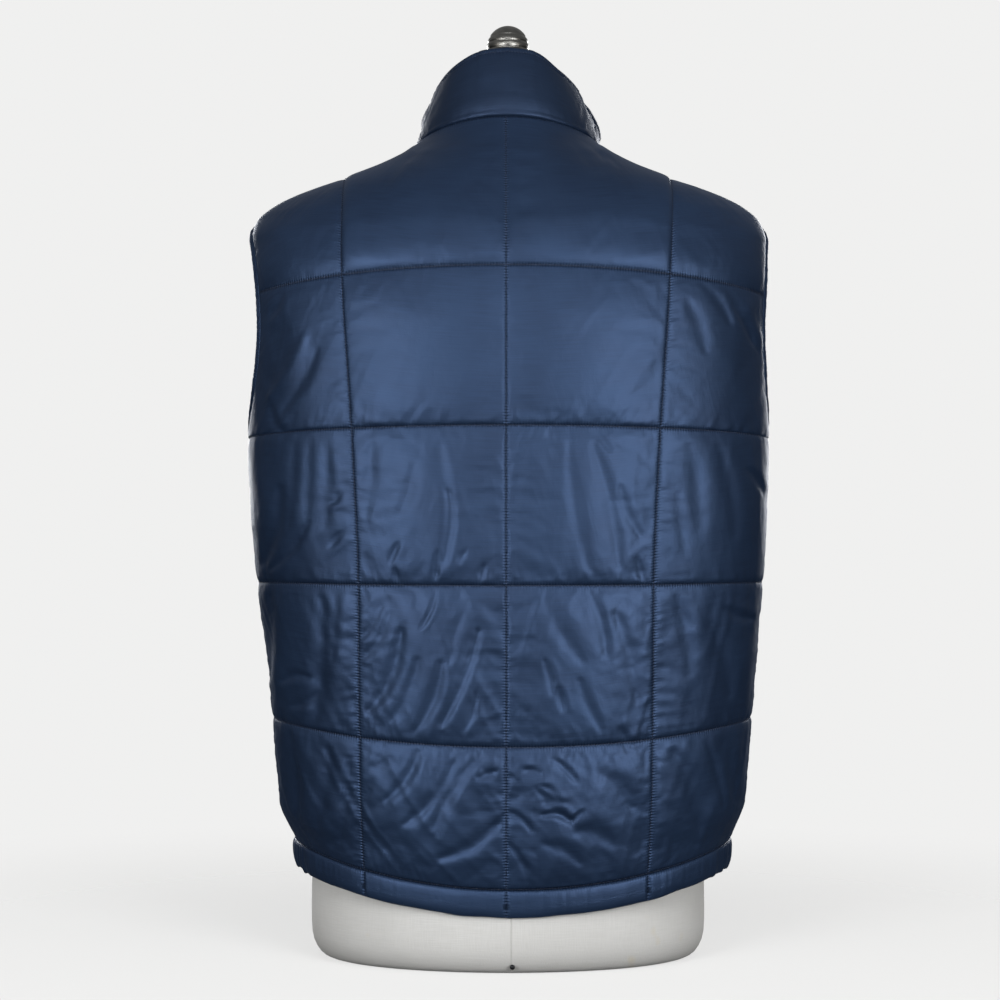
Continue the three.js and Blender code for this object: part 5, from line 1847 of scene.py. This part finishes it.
# %% [markdown]
# ## Shapes raised ring by ring
# The torso of the form, its neck plate, the finial and the tack are all rings on one upright axis.
# By hand, one would add a circle, extrude its edge, lift it, scale it and go on. This function does
# the same with the same operators: a table of heights and half widths is all it needs.

# %% Raise a shape from a circle
def raised(name, rings, sides, finish, levels=1):
    """rings holds (z, half width, half depth, middle in y) rows in mm, from the foot up."""
    bpy.ops.object.select_all(action="DESELECT")
    z, wide, deep, middle = [value * MM for value in rings[0]]
    bpy.ops.mesh.primitive_circle_add(vertices=sides, radius=1.0, fill_type="NGON")
    piece = bpy.context.object
    piece.name = piece.data.name = name
    bpy.ops.object.mode_set(mode="EDIT")
    bpy.ops.mesh.select_all(action="SELECT")
    bpy.ops.transform.resize(value=(wide, deep, 1))
    bpy.ops.transform.translate(value=(0, middle, z))
    bpy.ops.mesh.flip_normals()
    for row in rings[1:]:
        new_z, new_wide, new_deep, new_middle = [value * MM for value in row]
        bpy.ops.mesh.extrude_region_move(TRANSFORM_OT_translate={"value": (0, 0, new_z - z)})
        bpy.ops.transform.resize(
            value=(new_wide / wide, new_deep / deep, 1), center_override=(0, middle, new_z)
        )
        bpy.ops.transform.translate(value=(0, new_middle - middle, 0))
        z, wide, deep, middle = new_z, new_wide, new_deep, new_middle
    bpy.ops.mesh.select_all(action="SELECT")
    bpy.ops.mesh.normals_make_consistent(inside=False)
    bpy.ops.object.mode_set(mode="OBJECT")
    if levels:
        piece.modifiers.new("Smooth", "SUBSURF").levels = levels
        piece.modifiers["Smooth"].render_levels = levels
        bpy.ops.object.modifier_apply(modifier="Smooth")
    bpy.ops.object.shade_smooth_by_angle(angle=math.radians(40))
    bpy.ops.object.transform_apply(location=True, rotation=True, scale=True)
    piece.data.materials.append(finish)
    return piece


print("rings become solids with circle, extrude, resize and translate")

# %% [markdown]
# ## The dress form
# The form is papier-mache covered in cream linen, smooth and whole, with no arms or legs. Most of it
# is hidden, but it carries the vest, so its whole surface is made. Its cover is seamed down the
# middle of the back. The linen is close woven, slightly slubbed, greyer towards the foot and
# faintly yellowed in spots.

# %% Cover the form in linen
FORM_RINGS = table("z side back front", """
      0    152.5  97.5  97.5
      1.2  158    103   103
      4    164    109   109
     15    170.5  115.5 115.5
     27    172    117   117
     60    172    117   117
    110    170    116   116
    160    163    110   112
    215    151    100   107
    270    145     94   105
    330    149     98   108
    400    160    108   114
    460    172    117   119
    510    183    121   119
    560    193    122   113
    598    198    117   105
    625    198    110    98
    638    194    105    93
    648    184    100    88
    655    169     96    84
    663    148     92    79
    672    124     87    74
    681    101     81    68
    690     81     74    62
    700     67     66    57
    710     60     59    54
    728     57.5   56    53
    742     57     55    53
""")
FORM_TOP = 742


def linen(name):
    finish = Finish(name)
    place = finish.place()
    x, y, z = finish.axes(place)
    thread_turns = 2 * math.pi / 0.0009
    warp = finish.noise(finish.place((1500, 1500, 60)), 1.0, 1.0)
    weft = finish.noise(finish.place((60, 60, 1500)), 1.0, 1.0)
    pick = (z * thread_turns).sine() * 0.5 + (x * thread_turns).sine() * 0.3
    cloud = finish.noise(place, 7, 3.0)
    foot = z.between(0.0, 0.05, 1.0, 0.0)
    spots = finish.noise(place, 42, 1.0).between(0.70, 0.80) * z.between(0.03, 0.08, 1.0, 0.25)
    tone = finish.tint(cloud.between(0.35, 0.7), (0.585, 0.585, 0.575), (0.66, 0.66, 0.65))
    threads = (warp * 0.5 + weft * 0.5).between(0.3, 0.75, 0.0, 0.35)
    tone = finish.tint(threads, tone, (0.50, 0.50, 0.485))
    tone = finish.tint(foot * 0.35, tone, (0.42, 0.42, 0.41))
    tone = finish.tint(spots * 0.35, tone, (0.58, 0.50, 0.33))
    seam = (x + 0.0022).size().between(0.0, 0.0011, 1.0, 0.0) * y.between(0.0, 0.002)
    tone = finish.tint(seam * 0.30, tone, (0.40, 0.40, 0.385))
    bump = finish.bump(warp + weft + pick * 0.3, 0.10)
    bump = finish.bump(1 - seam, 0.35, bump)
    return finish.surface(Base_Color=tone, Roughness=0.86 + 0.08 * weft, Normal=bump, Sheen_Weight=0.1)


form_linen = linen("form_linen")
rows = [
    (z, side, (back + front) / 2, (back - front) / 2)
    for z, side, back, front in zip(*FORM_RINGS.values())
]
# the cloth turns in over the foot and the neck, so both ends close with an inset ring
foot_rows = [(0.0, 148.0, 93.0, 0.0)]
neck_rows = [(FORM_TOP, 54.0, 52.0, 1.0)]
torso = raised("form_torso_linen", foot_rows + rows + neck_rows, 96, form_linen)
finish_piece(torso, "form_linen", "form_torso")
print("torso:", len(torso.data.polygons), "faces")

# %% [markdown]
# ## Neck plate and finial
# A round metal plate closes the neck, and on it stands a turned finial: a waisted foot, a collar and
# a dome cut with three grooves. Turned work is a stack of rings too. The metal is dark and
# burnished, with fine rings left by the tool.

# %% Turn the metal
PLATE = {"radius": 52.0, "thickness": 5.0, "edge": 2.0}
FINIAL = {"top": 817.0, "radius": 18.5, "grooves": (807.0, 801.5, 795.5), "depth": 0.65, "steps": 46}
FINIAL_FOOT = table("z r", """
     0    27
     0.6  27.4
     3    27.5
     4    26.8
     5    25
     8    17
    15    12
    24    11.5
    33    15.5
    37    19
    39    20
    41    20.3
    44    20.3
    45.5  19.9
    46.5  19
""")


def burnished(name):
    finish = Finish(name)
    place = finish.place()
    _, _, z = finish.axes(place)
    cloud = finish.noise(place, 90, 3.0)
    lathe_turns = (z * (2 * math.pi / 0.0008)).sine()
    tool = lathe_turns + 2 * finish.noise(finish.place((20, 20, 2500)), 1.0, 1.0)
    colour = finish.tint(cloud.between(0.3, 0.7), (0.17, 0.17, 0.165), (0.27, 0.265, 0.25))
    rough = 0.24 + 0.14 * cloud
    bump = finish.bump(tool, 0.012)
    return finish.surface(Base_Color=colour, Metallic=1.0, Roughness=rough, Normal=bump)


def round_rows(profile):
    return [(z, max(r, 0.05), max(r, 0.05), 0.0) for z, r in profile]


form_metal = burnished("burnished_metal")
foot = FORM_TOP + SEAM_GAP
top = foot + PLATE["thickness"]
edge, radius = PLATE["edge"], PLATE["radius"]
arc = [math.radians(a) for a in (0, 22, 45, 68, 90)]
profile = [(foot, radius - 1.2), (foot, radius - 0.4), (foot + 0.4, radius)]
profile += [(top - edge + edge * math.sin(a), radius - edge + edge * math.cos(a)) for a in arc]
profile += [(top, 40.0), (top, 28.5)]
plate = raised("form_neck_plate_metal", round_rows(profile), 64, form_metal, levels=1)
finish_piece(plate, "form_metal", "form_neck_plate")

finial_foot = top + SEAM_GAP
dome_start = finial_foot + float(FINIAL_FOOT["z"][-1])
dome_middle = FINIAL["top"] - FINIAL["radius"]
profile = [(finial_foot, 20.0)] + [(finial_foot + z, r) for z, r in zip(*FINIAL_FOOT.values())]
for i in range(1, FINIAL["steps"] + 1):
    z = mix(dome_start, FINIAL["top"], math.sin(math.pi / 2 * i / FINIAL["steps"]))
    squared = max(0.0, FINIAL["radius"] ** 2 - (z - dome_middle) ** 2)
    dome = FINIAL["radius"] if z < dome_middle else math.sqrt(squared)
    nearest = min(abs(z - groove) for groove in FINIAL["grooves"])
    profile.append((z, dome - FINIAL["depth"] * math.exp(-(nearest**2) / 0.9)))
finial = raised("form_finial_metal", round_rows(profile), 64, form_metal, levels=1)
finish_piece(finial, "form_metal", "form_finial")
print("finial:", len(finial.data.polygons), "faces")

# %% [markdown]
# ## The tack
# A single blackened tack holds the cover's seam near the foot. It is a shallow dome turned on its
# side, so it is raised like the rest and then rotated about its own middle.

# %% Drive the tack
TACK_HEAD = [(0.0, 2.2), (0.35, 2.25), (0.75, 1.95), (1.1, 1.4), (1.32, 0.7), (1.4, 0.05)]


def blackened_steel(name):
    finish = Finish(name)
    pits = finish.noise(finish.place(), 1500, 2.0)
    colour = finish.tint(pits, (0.010, 0.011, 0.014), (0.030, 0.031, 0.035))
    rough = 0.4 + 0.2 * pits
    bump = finish.bump(pits, 0.05)
    return finish.surface(Base_Color=colour, Metallic=0.8, Roughness=rough, Normal=bump)


low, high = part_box("form_tack")
tack = raised("form_tack_head", round_rows(TACK_HEAD), 24, blackened_steel("blackened_steel"))
bpy.ops.transform.rotate(value=math.pi / 2, orient_axis="X", center_override=(0, 0, 0))
bpy.ops.object.transform_apply(location=True, rotation=True, scale=True)
tip = max(vertex.co.y for vertex in tack.data.vertices)
middle = (low + high) / 2
tack.data.transform(Matrix.Translation((middle.x, high.y - tip, middle.z)))
finish_piece(tack, "tack_metal", "form_tack")
print("tack at", [round(v, 4) for v in middle])

# %% [markdown]
# ## What the cloth was cut from
# A folded strip counts at its folded width. The hem's strips are longer than the finished hem, because
# elastic gathers them.

SHEETS = [
    ("back_cloth", 0.610, 0.710, 0.355, "draped", "form_torso_linen", ["stitches_back"]),
    ("front_left_cloth", 0.300, 0.695, 0.158, "draped", "form_torso_linen", ["stitches_front_left"]),
    ("front_right_cloth", 0.300, 0.695, 0.160, "draped", "form_torso_linen", ["stitches_front_right"]),
    ("hem_back_cloth", 0.560, 0.026, None, "gathered", "back_cloth", []),
    ("hem_left_cloth", 0.265, 0.026, None, "gathered", "front_left_cloth", []),
    ("hem_right_cloth", 0.275, 0.026, None, "gathered", "front_right_cloth", []),
    (
        "armhole_binding_left_cloth", 0.495, 0.010, None, "folded", "back_cloth",
        ["stitches_armhole_left"],
    ),
    (
        "armhole_binding_right_cloth", 0.465, 0.010, None, "folded", "back_cloth",
        ["stitches_armhole_right"],
    ),
    ("collar_cloth", 0.466, 0.064, 0.0235, "folded", "back_cloth", ["stitches_collar"]),
    ("zip_tape_left_weave", 0.014, 0.660, None, "hung", "front_left_cloth", ["zip_teeth_left"]),
    ("zip_tape_right_weave", 0.014, 0.660, None, "hung", "front_right_cloth", ["zip_teeth_right"]),
]
for name, width, length, area, held, under, sewn in SHEETS:
    piece = bpy.data.objects[name]
print("sheets declared:", len(SHEETS))
